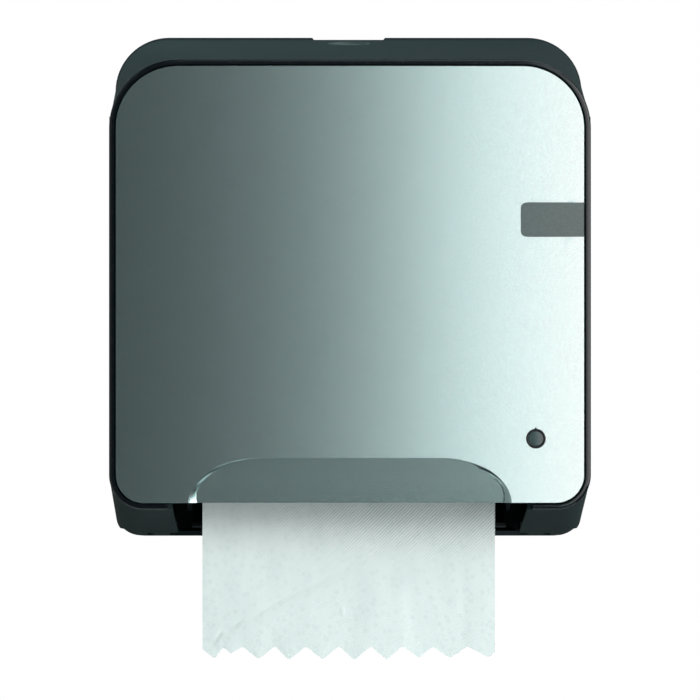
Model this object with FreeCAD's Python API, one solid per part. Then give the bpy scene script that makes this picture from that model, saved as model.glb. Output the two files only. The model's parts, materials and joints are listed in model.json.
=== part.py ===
# Wall-mounted autocut towel dispenser, in millimetres.
# X runs to the right as seen from the front, Z is up, and the front faces -Y.
# The wall is the plane y = 0 and u = -y is the distance in front of the wall.
# The origin is the centre of the back plate's wall face.
import FreeCAD, Part
import math
import os
from FreeCAD import Vector

# Clearances
SEAT_GAP = 0.15
MOVING_GAP = 0.3
RUNNING_GAP = 0.05
PRESS_GAP = 0.02
WALL = 2.5

# Back plate
PLATE_HEIGHT = 366.0
PLATE_THICKNESS = 4.0
PLATE_TOP_RADIUS = 39.5
PLATE_BOTTOM_RADIUS = 21.3
PLATE_RIM = 0.6
FLANGE_STEP = 1.5
FLANGE_BREAK_WIDTH = 51.0
KERB_HEIGHT = 7.0
KERB_THICKNESS = 2.0
WALL_HOLE_RADIUS = 3.0
WALL_HOLE_SPACING_X = 284.0
WALL_HOLE_SPACING_Z = 240.0
WALL_HOLE_CENTRE_Z = 10.0
WALL_PAD_WIDTH = 18.0
WALL_PAD_HEIGHT = 3.0
SILL_DEPTH = 39.0
SILL_HEIGHT = 3.3

# Cover skirt, from the back plate to the front frame
COVER_WIDTH = 337.4
COVER_WIDENING = 4.0
SKIRT_REAR_TOP = 181.5
SKIRT_REAR_BOTTOM = -183.0
SKIRT_REAR_TOP_RADIUS = 38.0
SKIRT_REAR_BOTTOM_RADIUS = 14.0
CORNER_CUT_Z = -177.3
CORNER_CUT_RADIUS = 20.5
FRONT_TOP = 157.0
FRONT_BOTTOM = -158.4
FRONT_TOP_RADIUS = 48.0
FRONT_BOTTOM_RADIUS = 24.5
FRONT_U = 199.0
LIP_WIDTH = 24.0
EXIT_HALF_WIDTH = 124.5

# Front frame bead and silver panel
BEAD_WIDTH = 4.7
BEAD_FRONT_U = FRONT_U + 7.8
BEAD_ROUND = 1.6
BEAD_END_X = 127.8
PANEL_EDGE_U = FRONT_U + 8.6
PANEL_CROWN = 5.0
PANEL_WALL = 2.4

# Hand scoop in the panel's lower edge
SCOOP_FOOT_X = 113.6
SCOOP_SHOULDER = (107.5, -134.5)
SCOOP_TOP = (76.0, -122.4)
SCOOP_SHOULDER_RADIUS = 14.0
SCOOP_TOP_RADIUS = 40.0
SCOOP_DEPTH_TOP = 2.2
SCOOP_DEPTH_BOTTOM = 8.5

# Bare badge plate and round level window
BADGE_LEFT = COVER_WIDTH / 2 - 49.3
BADGE_BOTTOM = 32.7
BADGE_HEIGHT = 24.0
BADGE_RADIUS = 4.0
BADGE_THICKNESS = 1.0
BADGE_PROUD = 0.25
WINDOW_X = COVER_WIDTH / 2 - 38.7
WINDOW_Z = -108.5
WINDOW_RADIUS = 6.8
WINDOW_BEZEL = 1.1
WINDOW_DEPTH = 6.0

# Lock in the cover's top wall and spring latch behind it
LOCK_WIDTH = 30.0
LOCK_REAR_U = 26.0
LOCK_FRONT_U = 57.0
LOCK_WALL = 1.2
LATCH_WIDTH = 16.0
LATCH_NOSE_U = 49.5
LATCH_NOSE_LENGTH = 4.0
LATCH_TOP_Z = 168.6
LATCH_TRAVEL = 6.5
LATCH_HOOK = 5.5
STRIKER_HEIGHT = 3.0
STRIKER_DEPTH = 3.5

# Cover hinge at the lower rear corners
HINGE_U = 14.0
HINGE_Z = -175.0
HINGE_PIN_RADIUS = 2.5
HINGE_EAR_RADIUS = 4.6
HINGE_KNUCKLE_RADIUS = 6.0
HINGE_RELIEF_RADIUS = 9.3
HINGE_EAR_X = EXIT_HALF_WIDTH + 2.0
HINGE_EAR_WIDTH = 4.0
HINGE_KNUCKLE_WIDTH = 12.4

# Towel, roll and core
TOWEL_WIDTH = 207.0
TOWEL_THICKNESS = 0.5
TOWEL_OFFSET_X = -0.7
TOOTH_COUNT = 9
TOOTH_HEIGHT = 10.0
TAIL_TOP_Z = -150.0
TAIL_TIP_Z = -266.0
ROLL_RADIUS = 85.0
ROLL_U = 105.0
ROLL_Z = 62.0
CORE_RADIUS = 20.0
CORE_WALL = 1.5

# Roll arms and hubs
ARM_THICKNESS = 4.0
ARM_RIB_HEIGHT = 2.5
ARM_INNER_X = TOWEL_WIDTH / 2 + 3.5
ARM_NOSE_RADIUS = 20.0
HUB_FLANGE_RADIUS = 26.0
HUB_SPIGOT_LENGTH = 12.0
HUB_TAPER = 2.2
HUB_STUB_WIDTH = 12.0
ARM_PIVOT_X = ARM_INNER_X + 8.0
ARM_PIVOT_U = 13.0
ARM_PIVOT_PIN_RADIUS = 2.5
ARM_KNUCKLE_RADIUS = 6.0

# Cutting drum
DRUM_U = 120.0
DRUM_Z = -105.0
DRUM_RADIUS = 40.0
GRIP_PROUD = 0.6
GRIP_DEPTH = 0.8
GRIP_WIDTH = 10.0
GRIP_ANGLES = (40, 90, 140, -60, -105, -150)
DRUM_LUG_ANGLES = (60, 115, 180, -120)
DRUM_WALL = 2.6
DRUM_HALF_LENGTH = TOWEL_WIDTH / 2 + 2.5
GRIP_HALF_LENGTH = DRUM_HALF_LENGTH - 9.0
DRUM_END_THICKNESS = 3.0
DRUM_REST_ANGLE = -100.0
SLOT_UPPER_ANGLE = 4.0
SLOT_LOWER_ANGLE = -33.0
AXLE_RADIUS = 6.0

# Knife in the drum, in the drum's own frame before the rest angle is applied
KNIFE_PIVOT = (17.5, -26.0)
KNIFE_PIN_RADIUS = 2.0
KNIFE_BOSS_RADIUS = 4.4
KNIFE_SWING = 32.0
BLADE_TIP = (37.0, -1.0)
BLADE_ANGLE = 13.0
BLADE_WIDTH = 22.0
BLADE_THICKNESS = 0.8
STAKE_PLACES = (-0.36 * TOWEL_WIDTH, 0, 0.36 * TOWEL_WIDTH)
FOLLOWER_PLACE = (-6.0, -27.0)
FOLLOWER_RADIUS = 3.0
FOLLOWER_PIN_RADIUS = 1.6

# Side frames
FRAME_INNER_X = DRUM_HALF_LENGTH + DRUM_END_THICKNESS + 5.5
FRAME_THICKNESS = 3.0
FRAME_FOOT_WIDTH = 12.0
BUSHING_WALL = 2.0
BUSHING_FLANGE = 1.2

# Pinch roller
PINCH_RADIUS = 9.0
PINCH_SHAFT_RADIUS = 3.0
PINCH_ANGLE = 35.0
PINCH_SLEEVES = 2

# Ratchet, hand wheel and crank outside the frames
RATCHET_RADIUS = 22.0
RATCHET_TEETH = 16
RATCHET_DEPTH = 3.2
RATCHET_FACE_SHARE = 0.05
RATCHET_WIDTH = 5.0
PAWL_PIVOT = (88.0, -74.0)
PAWL_PIN_RADIUS = 2.5
PAWL_TOOTH = 5
PAWL_REST_SHARE = 0.42
WHEEL_RADIUS = 27.0
WHEEL_WIDTH = 20.0
WHEEL_RIBS = 20
WHEEL_RIB_HEIGHT = 1.6
CRANK_THROW = 18.0
CRANK_THICKNESS = 5.0
CRANK_PIN_RADIUS = 2.5
SPRING_POST = (40.0, -70.0)
SPRING_POST_RADIUS = 3.0
SPRING_RADIUS = 4.5
SPRING_WIRE = 0.7
SPRING_TURNS = 6


# Basic forms. Every place is given as x, distance u from the wall, and z.
def at(x, u, z):
    return Vector(x, -u, z)


def block(x0, x1, u0, u1, z0, z1):
    return Part.makeBox(x1 - x0, u1 - u0, z1 - z0, at(x0, u1, z0))


def rod_x(radius, x0, x1, u, z):
    return Part.makeCylinder(radius, x1 - x0, at(x0, u, z), Vector(1, 0, 0))


def rod_u(radius, u0, u1, x, z):
    return Part.makeCylinder(radius, u1 - u0, at(x, u0, z), Vector(0, -1, 0))


def rod_z(radius, z0, z1, x, u):
    return Part.makeCylinder(radius, z1 - z0, at(x, u, z0), Vector(0, 0, 1))


def tube_x(outer, inner, x0, x1, u, z):
    return rod_x(outer, x0, x1, u, z).cut(rod_x(inner, x0 - 1, x1 + 1, u, z))


def rounded_wire(corners):
    """A closed wire through (point, radius) corners, with an arc at each corner that has a radius."""
    edges = []
    ends = []
    count = len(corners)
    for i, (point, radius) in enumerate(corners):
        before = (corners[i - 1][0] - point).normalize()
        after = (corners[(i + 1) % count][0] - point).normalize()
        if radius == 0:
            ends.append((point, None, point))
            continue
        half = before.getAngle(after) / 2
        reach = radius / math.tan(half)
        middle = (before + after).normalize()
        crown = point + middle * (radius / math.sin(half) - radius)
        ends.append((point + before * reach, crown, point + after * reach))
    for i, (start, crown, end) in enumerate(ends):
        if crown is not None:
            edges.append(Part.Arc(start, crown, end).toShape())
        following = ends[(i + 1) % count][0]
        if (following - end).Length > 1e-6:
            edges.append(Part.LineSegment(end, following).toShape())
    return Part.Wire(edges)


def prism_x(outline, x0, x1):
    """Extrudes (u, z, radius) corners along X."""
    wire = rounded_wire([(at(x0, u, z), radius) for u, z, radius in outline])
    return Part.Face(wire).extrude(Vector(x1 - x0, 0, 0))


def prism_u(outline, u0, u1):
    """Extrudes (x, z, radius) corners away from the wall."""
    wire = rounded_wire([(at(x, u0, z), radius) for x, z, radius in outline])
    return Part.Face(wire).extrude(Vector(0, -(u1 - u0), 0))


def prism_z(outline, z0, z1):
    """Extrudes (x, u, radius) corners upwards."""
    wire = rounded_wire([(at(x, u, z0), radius) for x, u, radius in outline])
    return Part.Face(wire).extrude(Vector(0, 0, z1 - z0))


def mirrored(shape):
    return shape.mirror(Vector(0, 0, 0), Vector(1, 0, 0))


def both_sides(shape):
    return [shape, mirrored(shape)]


def fused(shapes):
    first, *rest = shapes
    return first.fuse(rest).removeSplitter() if rest else first


def less(shape, cutters):
    for cutter in cutters:
        shape = shape.cut(cutter)
    return shape


def group(shapes):
    return Part.makeCompound(shapes)


def wire_run(points, radius):
    """A square-section wire that follows a line of points."""
    path = Part.makePolygon(points)
    heading = (points[1] - points[0]).normalize()
    side = heading.cross(Vector(1, 2, 3)).normalize()
    up = heading.cross(side)
    corners = [points[0] + (side * a + up * b) * radius for a, b in ((1, 1), (-1, 1), (-1, -1), (1, -1))]
    section = Part.makePolygon(corners + [corners[0]])
    return path.makePipeShell([section], True, False, 1)


def coil_points(radius, z0, z1, turns):
    """Points of a coil along Z round the origin, eight to a turn."""
    count = 8 * turns
    points = []
    for i in range(count + 1):
        angle = 2 * math.pi * i / 8
        points.append(Vector(radius * math.cos(angle), radius * math.sin(angle), z0 + (z1 - z0) * i / count))
    return points


# Casing outlines
SKIRT_REAR_U = PLATE_THICKNESS + MOVING_GAP
PLATE_WIDTH = COVER_WIDTH + COVER_WIDENING + 2 * PLATE_RIM
KERB_END_Z = SKIRT_REAR_BOTTOM + SKIRT_REAR_BOTTOM_RADIUS + 16


def corner_waste(rear, front, inward_a, inward_b, radius_rear, radius_front):
    """The waste outside a long corner that is rounded by a cone, so its radius grows to the front."""
    along = front - rear
    growth = (radius_front - radius_rear) / along.Length
    along.normalize()
    near = radius_rear / growth
    far = radius_front / growth
    apex = rear - along * near
    both = inward_a + inward_b
    diagonal = both / both.Length
    closeness = diagonal.dot(inward_a)
    lean = math.atan(growth / closeness)
    axis = along * math.cos(lean) + diagonal * math.sin(lean)
    half_angle = math.asin(math.sin(lean) * closeness)
    height = 1.2 * far
    cone = Part.makeCone(0, height * math.tan(half_angle), height, apex, axis)

    def kite(distance):
        radius = distance * growth
        place = apex + along * distance
        middle = place + diagonal * (radius / closeness)
        beyond = radius + 1
        points = [place - both, middle - inward_a * beyond, middle, middle - inward_b * beyond]
        return Part.makePolygon(points + [points[0]])

    return Part.makeLoft([kite(near - 5), kite(far + 5)], True, True).cut(cone)


def skirt_solid(inset, rear_u, front_u):
    """The tapered body of the cover, from one distance to another, inset from its outer face."""
    def share(u):
        return (u - SKIRT_REAR_U) / (FRONT_U - SKIRT_REAR_U)

    def half(u):
        return (COVER_WIDTH + COVER_WIDENING * (1 - share(u))) / 2 - inset

    def top(u):
        return SKIRT_REAR_TOP + (FRONT_TOP - SKIRT_REAR_TOP) * share(u) - inset

    def bottom(u):
        return SKIRT_REAR_BOTTOM + (FRONT_BOTTOM - SKIRT_REAR_BOTTOM) * share(u) + inset

    def top_radius(u):
        return SKIRT_REAR_TOP_RADIUS + (FRONT_TOP_RADIUS - SKIRT_REAR_TOP_RADIUS) * share(u) - inset

    def bottom_radius(u):
        return SKIRT_REAR_BOTTOM_RADIUS + (FRONT_BOTTOM_RADIUS - SKIRT_REAR_BOTTOM_RADIUS) * share(u) - inset

    widest = max(half(rear_u), half(front_u))
    body = prism_x([
        (rear_u, bottom(rear_u), 0),
        (front_u, bottom(front_u), 0),
        (front_u, top(front_u), 0),
        (rear_u, top(rear_u), 0),
    ], -widest, widest)
    body = body.common(prism_z([
        (-half(rear_u), rear_u, 0),
        (half(rear_u), rear_u, 0),
        (half(front_u), front_u, 0),
        (-half(front_u), front_u, 0),
    ], bottom(rear_u) - 1, top(rear_u) + 1))
    narrowing = (half(front_u) - half(rear_u)) / (front_u - rear_u)
    for height, radius, way in ((top, top_radius, -1), (bottom, bottom_radius, 1)):
        slope = at(0, front_u, height(front_u)) - at(0, rear_u, height(rear_u))
        inward = (Vector(0, -slope.z, slope.y) * -way).normalize()
        for side in (-1, 1):
            body = body.cut(corner_waste(
                at(side * half(rear_u), rear_u, height(rear_u)),
                at(side * half(front_u), front_u, height(front_u)),
                Vector(-side, -narrowing, 0).normalize(), inward, radius(rear_u), radius(front_u),
            ))
    return body


def skirt_top(u):
    """Height of the cover's outer top face."""
    share = (u - SKIRT_REAR_U) / (FRONT_U - SKIRT_REAR_U)
    return SKIRT_REAR_TOP + (FRONT_TOP - SKIRT_REAR_TOP) * share


def front_prism(inset, u0, u1):
    """A straight prism of the front outline, inset from it."""
    half = COVER_WIDTH / 2 - inset
    return prism_u([
        (-half, FRONT_BOTTOM + inset, FRONT_BOTTOM_RADIUS - inset),
        (half, FRONT_BOTTOM + inset, FRONT_BOTTOM_RADIUS - inset),
        (half, FRONT_TOP - inset, FRONT_TOP_RADIUS - inset),
        (-half, FRONT_TOP - inset, FRONT_TOP_RADIUS - inset),
    ], u0, u1)


def crowned_block(drop):
    """All that lies behind the panel's crowned front face, lowered by a drop."""
    half = COVER_WIDTH / 2
    edge = PANEL_EDGE_U - drop
    middle = edge + PANEL_CROWN
    rear = FRONT_U - 2 * LIP_WIDTH
    low = FRONT_BOTTOM - 1
    wire = Part.Wire([
        Part.Arc(at(-half, edge, low), at(0, middle, low), at(half, edge, low)).toShape(),
        Part.LineSegment(at(half, edge, low), at(half, rear, low)).toShape(),
        Part.LineSegment(at(half, rear, low), at(-half, rear, low)).toShape(),
        Part.LineSegment(at(-half, rear, low), at(-half, edge, low)).toShape(),
    ])
    return Part.Face(wire).extrude(Vector(0, 0, FRONT_TOP - FRONT_BOTTOM + 2))


# Back plate
def back_plate():
    half = PLATE_WIDTH / 2
    plate_top = PLATE_HEIGHT / 2
    broad = prism_u([
        (-half, -plate_top, PLATE_BOTTOM_RADIUS),
        (half, -plate_top, PLATE_BOTTOM_RADIUS),
        (half, plate_top, PLATE_TOP_RADIUS),
        (-half, plate_top, PLATE_TOP_RADIUS),
    ], 0, PLATE_THICKNESS)
    gap_half = FLANGE_BREAK_WIDTH / 2
    flange_break = prism_u([
        (-gap_half, plate_top - FLANGE_STEP, 0),
        (gap_half, plate_top - FLANGE_STEP, 0),
        (gap_half + 2, plate_top + 1, 0),
        (-gap_half - 2, plate_top + 1, 0),
    ], -1, PLATE_THICKNESS + 1)
    plate = broad.cut(flange_break)
    plate = fused([plate, kerb(), sill()] + stiffening_ribs() + hinge_ears() + arm_lugs() + wall_pads())
    cuts = [
        rod_u(WALL_HOLE_RADIUS, -1, PLATE_THICKNESS + WALL_PAD_HEIGHT + 1, x, z) for x, z in wall_hole_places()
    ]
    cuts += hinge_bores(HINGE_PIN_RADIUS + RUNNING_GAP) + [arm_pin_bore()]
    cuts += [tab(x, z, SEAT_GAP) for x, z in frame_tab_places()]
    cuts += [tab(-x, z, SEAT_GAP) for x, z in frame_tab_places() + arm_tab_places()]
    return less(plate, cuts)


def kerb():
    """The upstand just inside the closed cover, on the top and the sides."""
    gap = WALL + 2 * MOVING_GAP
    end = SKIRT_REAR_U + KERB_HEIGHT
    ring = skirt_solid(gap, PLATE_THICKNESS - 1, end)
    ring = ring.cut(skirt_solid(gap + KERB_THICKNESS, PLATE_THICKNESS - 2, end + 1))
    return ring.cut(block(-PLATE_WIDTH, PLATE_WIDTH, 0, end + 1, -PLATE_HEIGHT, KERB_END_Z))


def sill():
    """The fixed bar behind the towel exit."""
    half = EXIT_HALF_WIDTH - 0.8
    top = HINGE_Z - 3.3
    return prism_x([
        (PLATE_THICKNESS - 1, SKIRT_REAR_BOTTOM + 0.7, 0),
        (SILL_DEPTH, top - SILL_HEIGHT, 0),
        (SILL_DEPTH, top, 0),
        (PLATE_THICKNESS - 1, top - 0.8, 0),
    ], -half, half)


def wall_hole_places():
    return [
        (x * WALL_HOLE_SPACING_X / 2, WALL_HOLE_CENTRE_Z + z * WALL_HOLE_SPACING_Z / 2)
        for x in (-1, 1) for z in (-1, 1)
    ]


def wall_pads():
    """Square pads round the wall screws' holes."""
    half = WALL_PAD_WIDTH / 2
    return [
        block(x - half, x + half, 1, PLATE_THICKNESS + WALL_PAD_HEIGHT, z - half, z + half)
        for x, z in wall_hole_places()
    ]


def stiffening_ribs():
    """Low ribs on the plate's inner face, clear of the feet that stand on it."""
    rear = PLATE_THICKNESS - 1
    front = PLATE_THICKNESS + 3
    ribs = [block(x - 1, x + 1, rear, front, -128, 120) for x in (-60, 60)]
    ribs += [block(-60, 60, rear, front, z - 1, z + 1) for z in (-40, 40, 119)]
    return ribs


def frame_tab_places():
    x = FRAME_INNER_X + FRAME_THICKNESS + 6
    return [(x, -145), (x, -60)]


def arm_tab_places():
    x = ARM_INNER_X + ARM_THICKNESS + 6
    return [(x, ROLL_Z - 28), (x, ROLL_Z + 28)]


def tab(x, z, growth):
    """A tab under a foot, or with a growth its slot in the back plate."""
    return block(
        x - 1.5 - growth, x + 1.5 + growth,
        0.8 - growth, PLATE_THICKNESS + 1,
        z - 4 - growth, z + 4 + growth,
    )


def ear_places():
    inner = HINGE_EAR_X
    outer = HINGE_EAR_X + HINGE_EAR_WIDTH + HINGE_KNUCKLE_WIDTH + 2 * MOVING_GAP
    return [(inner, inner + HINGE_EAR_WIDTH), (outer, outer + HINGE_EAR_WIDTH)]


def hinge_ears():
    """Two pairs of ears that carry the cover's hinge pins."""
    flat = HINGE_EAR_RADIUS * math.tan(math.pi / 8)
    ears = []
    for x0, x1 in ear_places():
        ears += both_sides(prism_x([
            (PLATE_THICKNESS - 1, HINGE_Z - HINGE_EAR_RADIUS, 0),
            (HINGE_U + flat, HINGE_Z - HINGE_EAR_RADIUS, 0),
            (HINGE_U + HINGE_EAR_RADIUS, HINGE_Z - flat, 0),
            (HINGE_U + HINGE_EAR_RADIUS, HINGE_Z + flat, 0),
            (PLATE_THICKNESS - 1, HINGE_Z + 16, 0),
        ], x0, x1))
    return ears


def hinge_bores(radius):
    low = HINGE_EAR_X - 2
    high = ear_places()[1][1] + 2
    return both_sides(rod_x(radius, low, high, HINGE_U, HINGE_Z))


def hinge_pins():
    low = HINGE_EAR_X - 0.8
    high = ear_places()[1][1] + 0.8
    return group(both_sides(rod_x(HINGE_PIN_RADIUS, low, high, HINGE_U, HINGE_Z)))


# Cover
def cover_shell():
    outer = skirt_solid(0, SKIRT_REAR_U, FRONT_U)
    inner = skirt_solid(WALL, SKIRT_REAR_U - 1, FRONT_U - WALL)
    shell = outer.cut(inner).cut(front_prism(LIP_WIDTH, FRONT_U - 2 * WALL, FRONT_U + 1))

    # Open underside for the towel, and the hinge knuckles
    exit_top = FRONT_BOTTOM + BEAD_WIDTH + 0.8
    exit_cut = block(-EXIT_HALF_WIDTH, EXIT_HALF_WIDTH, 0, FRONT_U + 1, SKIRT_REAR_BOTTOM - 5, exit_top)
    knuckle_x0 = HINGE_EAR_X + HINGE_EAR_WIDTH + MOVING_GAP
    knuckle_x1 = knuckle_x0 + HINGE_KNUCKLE_WIDTH
    knuckle = rod_x(HINGE_KNUCKLE_RADIUS, knuckle_x0, knuckle_x1, HINGE_U, HINGE_Z).common(outer)
    shell = shell.cut(exit_cut)
    shell = fused([shell] + both_sides(knuckle) + cover_ribs() + striker() + corner_walls(outer))

    # Room for the back plate's ears and for the rear edge as it turns
    relief = block(-200, 200, 0, HINGE_U, SKIRT_REAR_BOTTOM - 5, HINGE_Z)
    relief = relief.cut(rod_x(HINGE_RELIEF_RADIUS, -201, 201, HINGE_U, HINGE_Z))
    notches = []
    for x0, x1 in ear_places():
        inner_room = 4 if x0 == HINGE_EAR_X else 0
        notches += both_sides(block(
            x0 - MOVING_GAP - inner_room, x1 + MOVING_GAP,
            0, HINGE_U + 12,
            SKIRT_REAR_BOTTOM - 5, HINGE_Z + 12,
        ))
    cuts = [relief, corner_cut(0)] + notches + hinge_bores(HINGE_PIN_RADIUS + RUNNING_GAP)
    cuts += [lock_prism(SEAT_GAP, skirt_top(LOCK_FRONT_U) - 12, SKIRT_REAR_TOP + 5)]
    return less(shell, cuts)


def corner_cut(inset):
    """What lies outside the rounder lower rear corners of the cover, below their cut."""
    half = (COVER_WIDTH + COVER_WIDENING) / 2
    end = FRONT_U / 2
    round_half = half - inset
    room = prism_u([
        (-round_half, SKIRT_REAR_BOTTOM + inset, CORNER_CUT_RADIUS - inset),
        (round_half, SKIRT_REAR_BOTTOM + inset, CORNER_CUT_RADIUS - inset),
        (round_half, 0, 0),
        (-round_half, 0, 0),
    ], -1, end + 1)
    low = block(-half - 5, half + 5, 0, end, SKIRT_REAR_BOTTOM - 5, CORNER_CUT_Z + inset)
    return low.cut(room)


def corner_walls(outer):
    """The wall that closes the cover's lower rear corners where they are cut rounder."""
    start = ear_places()[1][1] + 2
    walls = corner_cut(WALL).common(outer)
    return both_sides(walls.common(block(start, COVER_WIDTH, SKIRT_REAR_U, FRONT_U / 2, -PLATE_HEIGHT, 0)))


def cover_ribs():
    """Upright ribs that stiffen the cover's side walls."""
    ribs = []
    for u in (60, 110, 160):
        ribs += both_sides(block(COVER_WIDTH / 2 - 8, COVER_WIDTH / 2 - 0.8, u - 1, u + 1, -120, 100))
    return ribs


def striker():
    """The bar under the cover's top wall that the latch's nose holds."""
    half = LOCK_WIDTH / 2 + 4.5
    front = LATCH_NOSE_U - MOVING_GAP
    rear = front - STRIKER_DEPTH
    low = LATCH_TOP_Z - LATCH_HOOK + 0.5
    bar = block(-half, half, rear, front, low, low + STRIKER_HEIGHT)
    leg = block(half - 2.5, half, rear, front, low, skirt_top(front) - 1)
    return [bar] + both_sides(leg)


def lock_prism(growth, z0, z1):
    """The lens-shaped outline of the lock recess, extruded upwards."""
    half = LOCK_WIDTH / 2 + growth
    middle = (LOCK_REAR_U + LOCK_FRONT_U) / 2
    reach = (LOCK_FRONT_U - LOCK_REAR_U) / 2 + growth
    wire = Part.Wire([
        Part.Arc(at(-half, middle, z0), at(0, middle + reach, z0), at(half, middle, z0)).toShape(),
        Part.Arc(at(half, middle, z0), at(0, middle - reach, z0), at(-half, middle, z0)).toShape(),
    ])
    return Part.Face(wire).extrude(Vector(0, 0, z1 - z0))


def lock_insert():
    """A lens-shaped cup with a key slot in its floor, flush with the cover's top face."""
    body_top = skirt_solid(0, SKIRT_REAR_U, FRONT_U)
    floor = LATCH_TOP_Z + 0.6
    cup = lock_prism(0, floor, SKIRT_REAR_TOP + 5).common(body_top)
    pocket = lock_prism(-LOCK_WALL, floor + 1.5, SKIRT_REAR_TOP + 6)
    ramp = prism_x([
        (LOCK_REAR_U - 2, floor + 1.0, 0),
        (LATCH_NOSE_U - 2, floor + 1.0, 0),
        (LOCK_REAR_U + 3, SKIRT_REAR_TOP - 4.5, 0),
        (LOCK_REAR_U - 2, SKIRT_REAR_TOP - 4.5, 0),
    ], -LOCK_WIDTH, LOCK_WIDTH)
    slot = block(-7, 7, LATCH_NOSE_U, LATCH_NOSE_U + 2.4, floor - 1, floor + 6)
    return cup.cut(pocket.cut(ramp)).cut(slot)


def front_bead():
    """The glossy bead round the panel, open over the towel exit."""
    bead = front_prism(0, FRONT_U, BEAD_FRONT_U)
    front_edges = [e for e in bead.Edges if e.BoundBox.YMax < -(BEAD_FRONT_U - 0.01)]
    bead = bead.makeChamfer(BEAD_ROUND, front_edges)
    bead = bead.cut(front_prism(BEAD_WIDTH, FRONT_U - 1, BEAD_FRONT_U + 1))
    gap = block(-BEAD_END_X, BEAD_END_X, FRONT_U - 1, BEAD_FRONT_U + 1, FRONT_BOTTOM - 1, FRONT_BOTTOM + 10)
    return bead.cut(gap)


def scoop_solid(growth, depth_growth):
    """The hand scoop, larger by a growth all round and deeper behind."""
    foot_z = FRONT_BOTTOM - 4 - growth
    foot = SCOOP_FOOT_X + growth
    shoulder_x = SCOOP_SHOULDER[0] + growth * 0.9
    shoulder_z = SCOOP_SHOULDER[1] + growth * 0.45
    top_x = SCOOP_TOP[0] + growth * 0.2
    top_z = SCOOP_TOP[1] + growth
    face_u = PANEL_EDGE_U + PANEL_CROWN
    outline = prism_u([
        (-foot, foot_z, 0),
        (foot, foot_z, 0),
        (shoulder_x, shoulder_z, SCOOP_SHOULDER_RADIUS),
        (top_x, top_z, SCOOP_TOP_RADIUS),
        (-top_x, top_z, SCOOP_TOP_RADIUS),
        (-shoulder_x, shoulder_z, SCOOP_SHOULDER_RADIUS),
    ], face_u - SCOOP_DEPTH_BOTTOM - 6, face_u + 6)
    top_u = face_u - SCOOP_DEPTH_TOP - depth_growth
    bottom_u = face_u - SCOOP_DEPTH_BOTTOM - depth_growth
    rise = (top_u - bottom_u) / (SCOOP_TOP[1] - FRONT_BOTTOM)
    behind = prism_x([
        (bottom_u - rise * 10, FRONT_BOTTOM - 10, 0),
        (top_u + rise * 20, SCOOP_TOP[1] + 20, 0),
        (FRONT_U - 30, SCOOP_TOP[1] + 20, 0),
        (FRONT_U - 30, FRONT_BOTTOM - 10, 0),
    ], -COVER_WIDTH, COVER_WIDTH)
    return outline.cut(behind)


PANEL_INSET = BEAD_WIDTH + MOVING_GAP


def badge_outline(growth):
    right = COVER_WIDTH / 2 - PANEL_INSET
    low = BADGE_BOTTOM - growth
    high = BADGE_BOTTOM + BADGE_HEIGHT + growth
    left = BADGE_LEFT - growth
    end = right + (10 if growth else 0)
    return prism_u([
        (left, low, BADGE_RADIUS),
        (end, low, 0),
        (end, high, 0),
        (left, high, BADGE_RADIUS),
    ], FRONT_U, PANEL_EDGE_U + PANEL_CROWN + 2)


def front_panel():
    """The crowned silver panel, a thin tray with a hand scoop pressed into its lower edge."""
    body = front_prism(PANEL_INSET, FRONT_U, PANEL_EDGE_U + PANEL_CROWN + 2).common(crowned_block(0))
    body = body.cut(scoop_solid(0, 0))
    hollow = front_prism(PANEL_INSET + PANEL_WALL, FRONT_U - 1, PANEL_EDGE_U + PANEL_CROWN + 2)
    hollow = hollow.common(crowned_block(PANEL_WALL)).cut(scoop_solid(PANEL_WALL, PANEL_WALL))
    badge_seat = badge_outline(SEAT_GAP).cut(crowned_block(BADGE_THICKNESS - BADGE_PROUD + 0.05))
    window_bore = rod_u(WINDOW_RADIUS + SEAT_GAP, FRONT_U - 1, PANEL_EDGE_U + 9, WINDOW_X, WINDOW_Z)
    return less(body, [hollow, badge_seat, window_bore])


def badge_plate():
    seat = BADGE_THICKNESS - BADGE_PROUD
    return badge_outline(0).common(crowned_block(-BADGE_PROUD)).cut(crowned_block(seat))


def window_face_u():
    """Distance from the wall of the panel's crowned face at the window."""
    half = COVER_WIDTH / 2
    radius = (half * half + PANEL_CROWN * PANEL_CROWN) / (2 * PANEL_CROWN)
    return PANEL_EDGE_U + PANEL_CROWN - radius + math.sqrt(radius * radius - WINDOW_X * WINDOW_X)


def window_bezel():
    """A plain cup pressed into the panel's bore."""
    face = window_face_u()
    floor = face - WINDOW_DEPTH + 1.2
    cup = rod_u(WINDOW_RADIUS, face - WINDOW_DEPTH, face + 0.9, WINDOW_X, WINDOW_Z)
    return cup.cut(rod_u(WINDOW_RADIUS - WINDOW_BEZEL, floor, face + 2, WINDOW_X, WINDOW_Z))


def window_lens():
    face = window_face_u()
    radius = WINDOW_RADIUS - WINDOW_BEZEL - SEAT_GAP
    return rod_u(radius, face - WINDOW_DEPTH + 1.2, face + 0.5, WINDOW_X, WINDOW_Z)


# Latch
def latch_housing():
    """A channel on the back plate that guides the latch up and down."""
    half = LATCH_WIDTH / 2 + MOVING_GAP
    rear = PLATE_THICKNESS
    front = rear + 16
    low = LATCH_TOP_Z - 42
    high = LATCH_TOP_Z - 8
    lip_top = LATCH_TOP_Z - LATCH_HOOK - LATCH_TRAVEL - 8
    body = block(-half - 2, half + 2, rear, front, low, high)
    channel = block(-half, half, rear + 3, front + 1, low + 3, high + 1)
    lips = [block(x - 1.5, x + 1.5, front - 2, front, low + 3, lip_top) for x in (-half, half)]
    return fused([body.cut(channel)] + lips)


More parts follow.
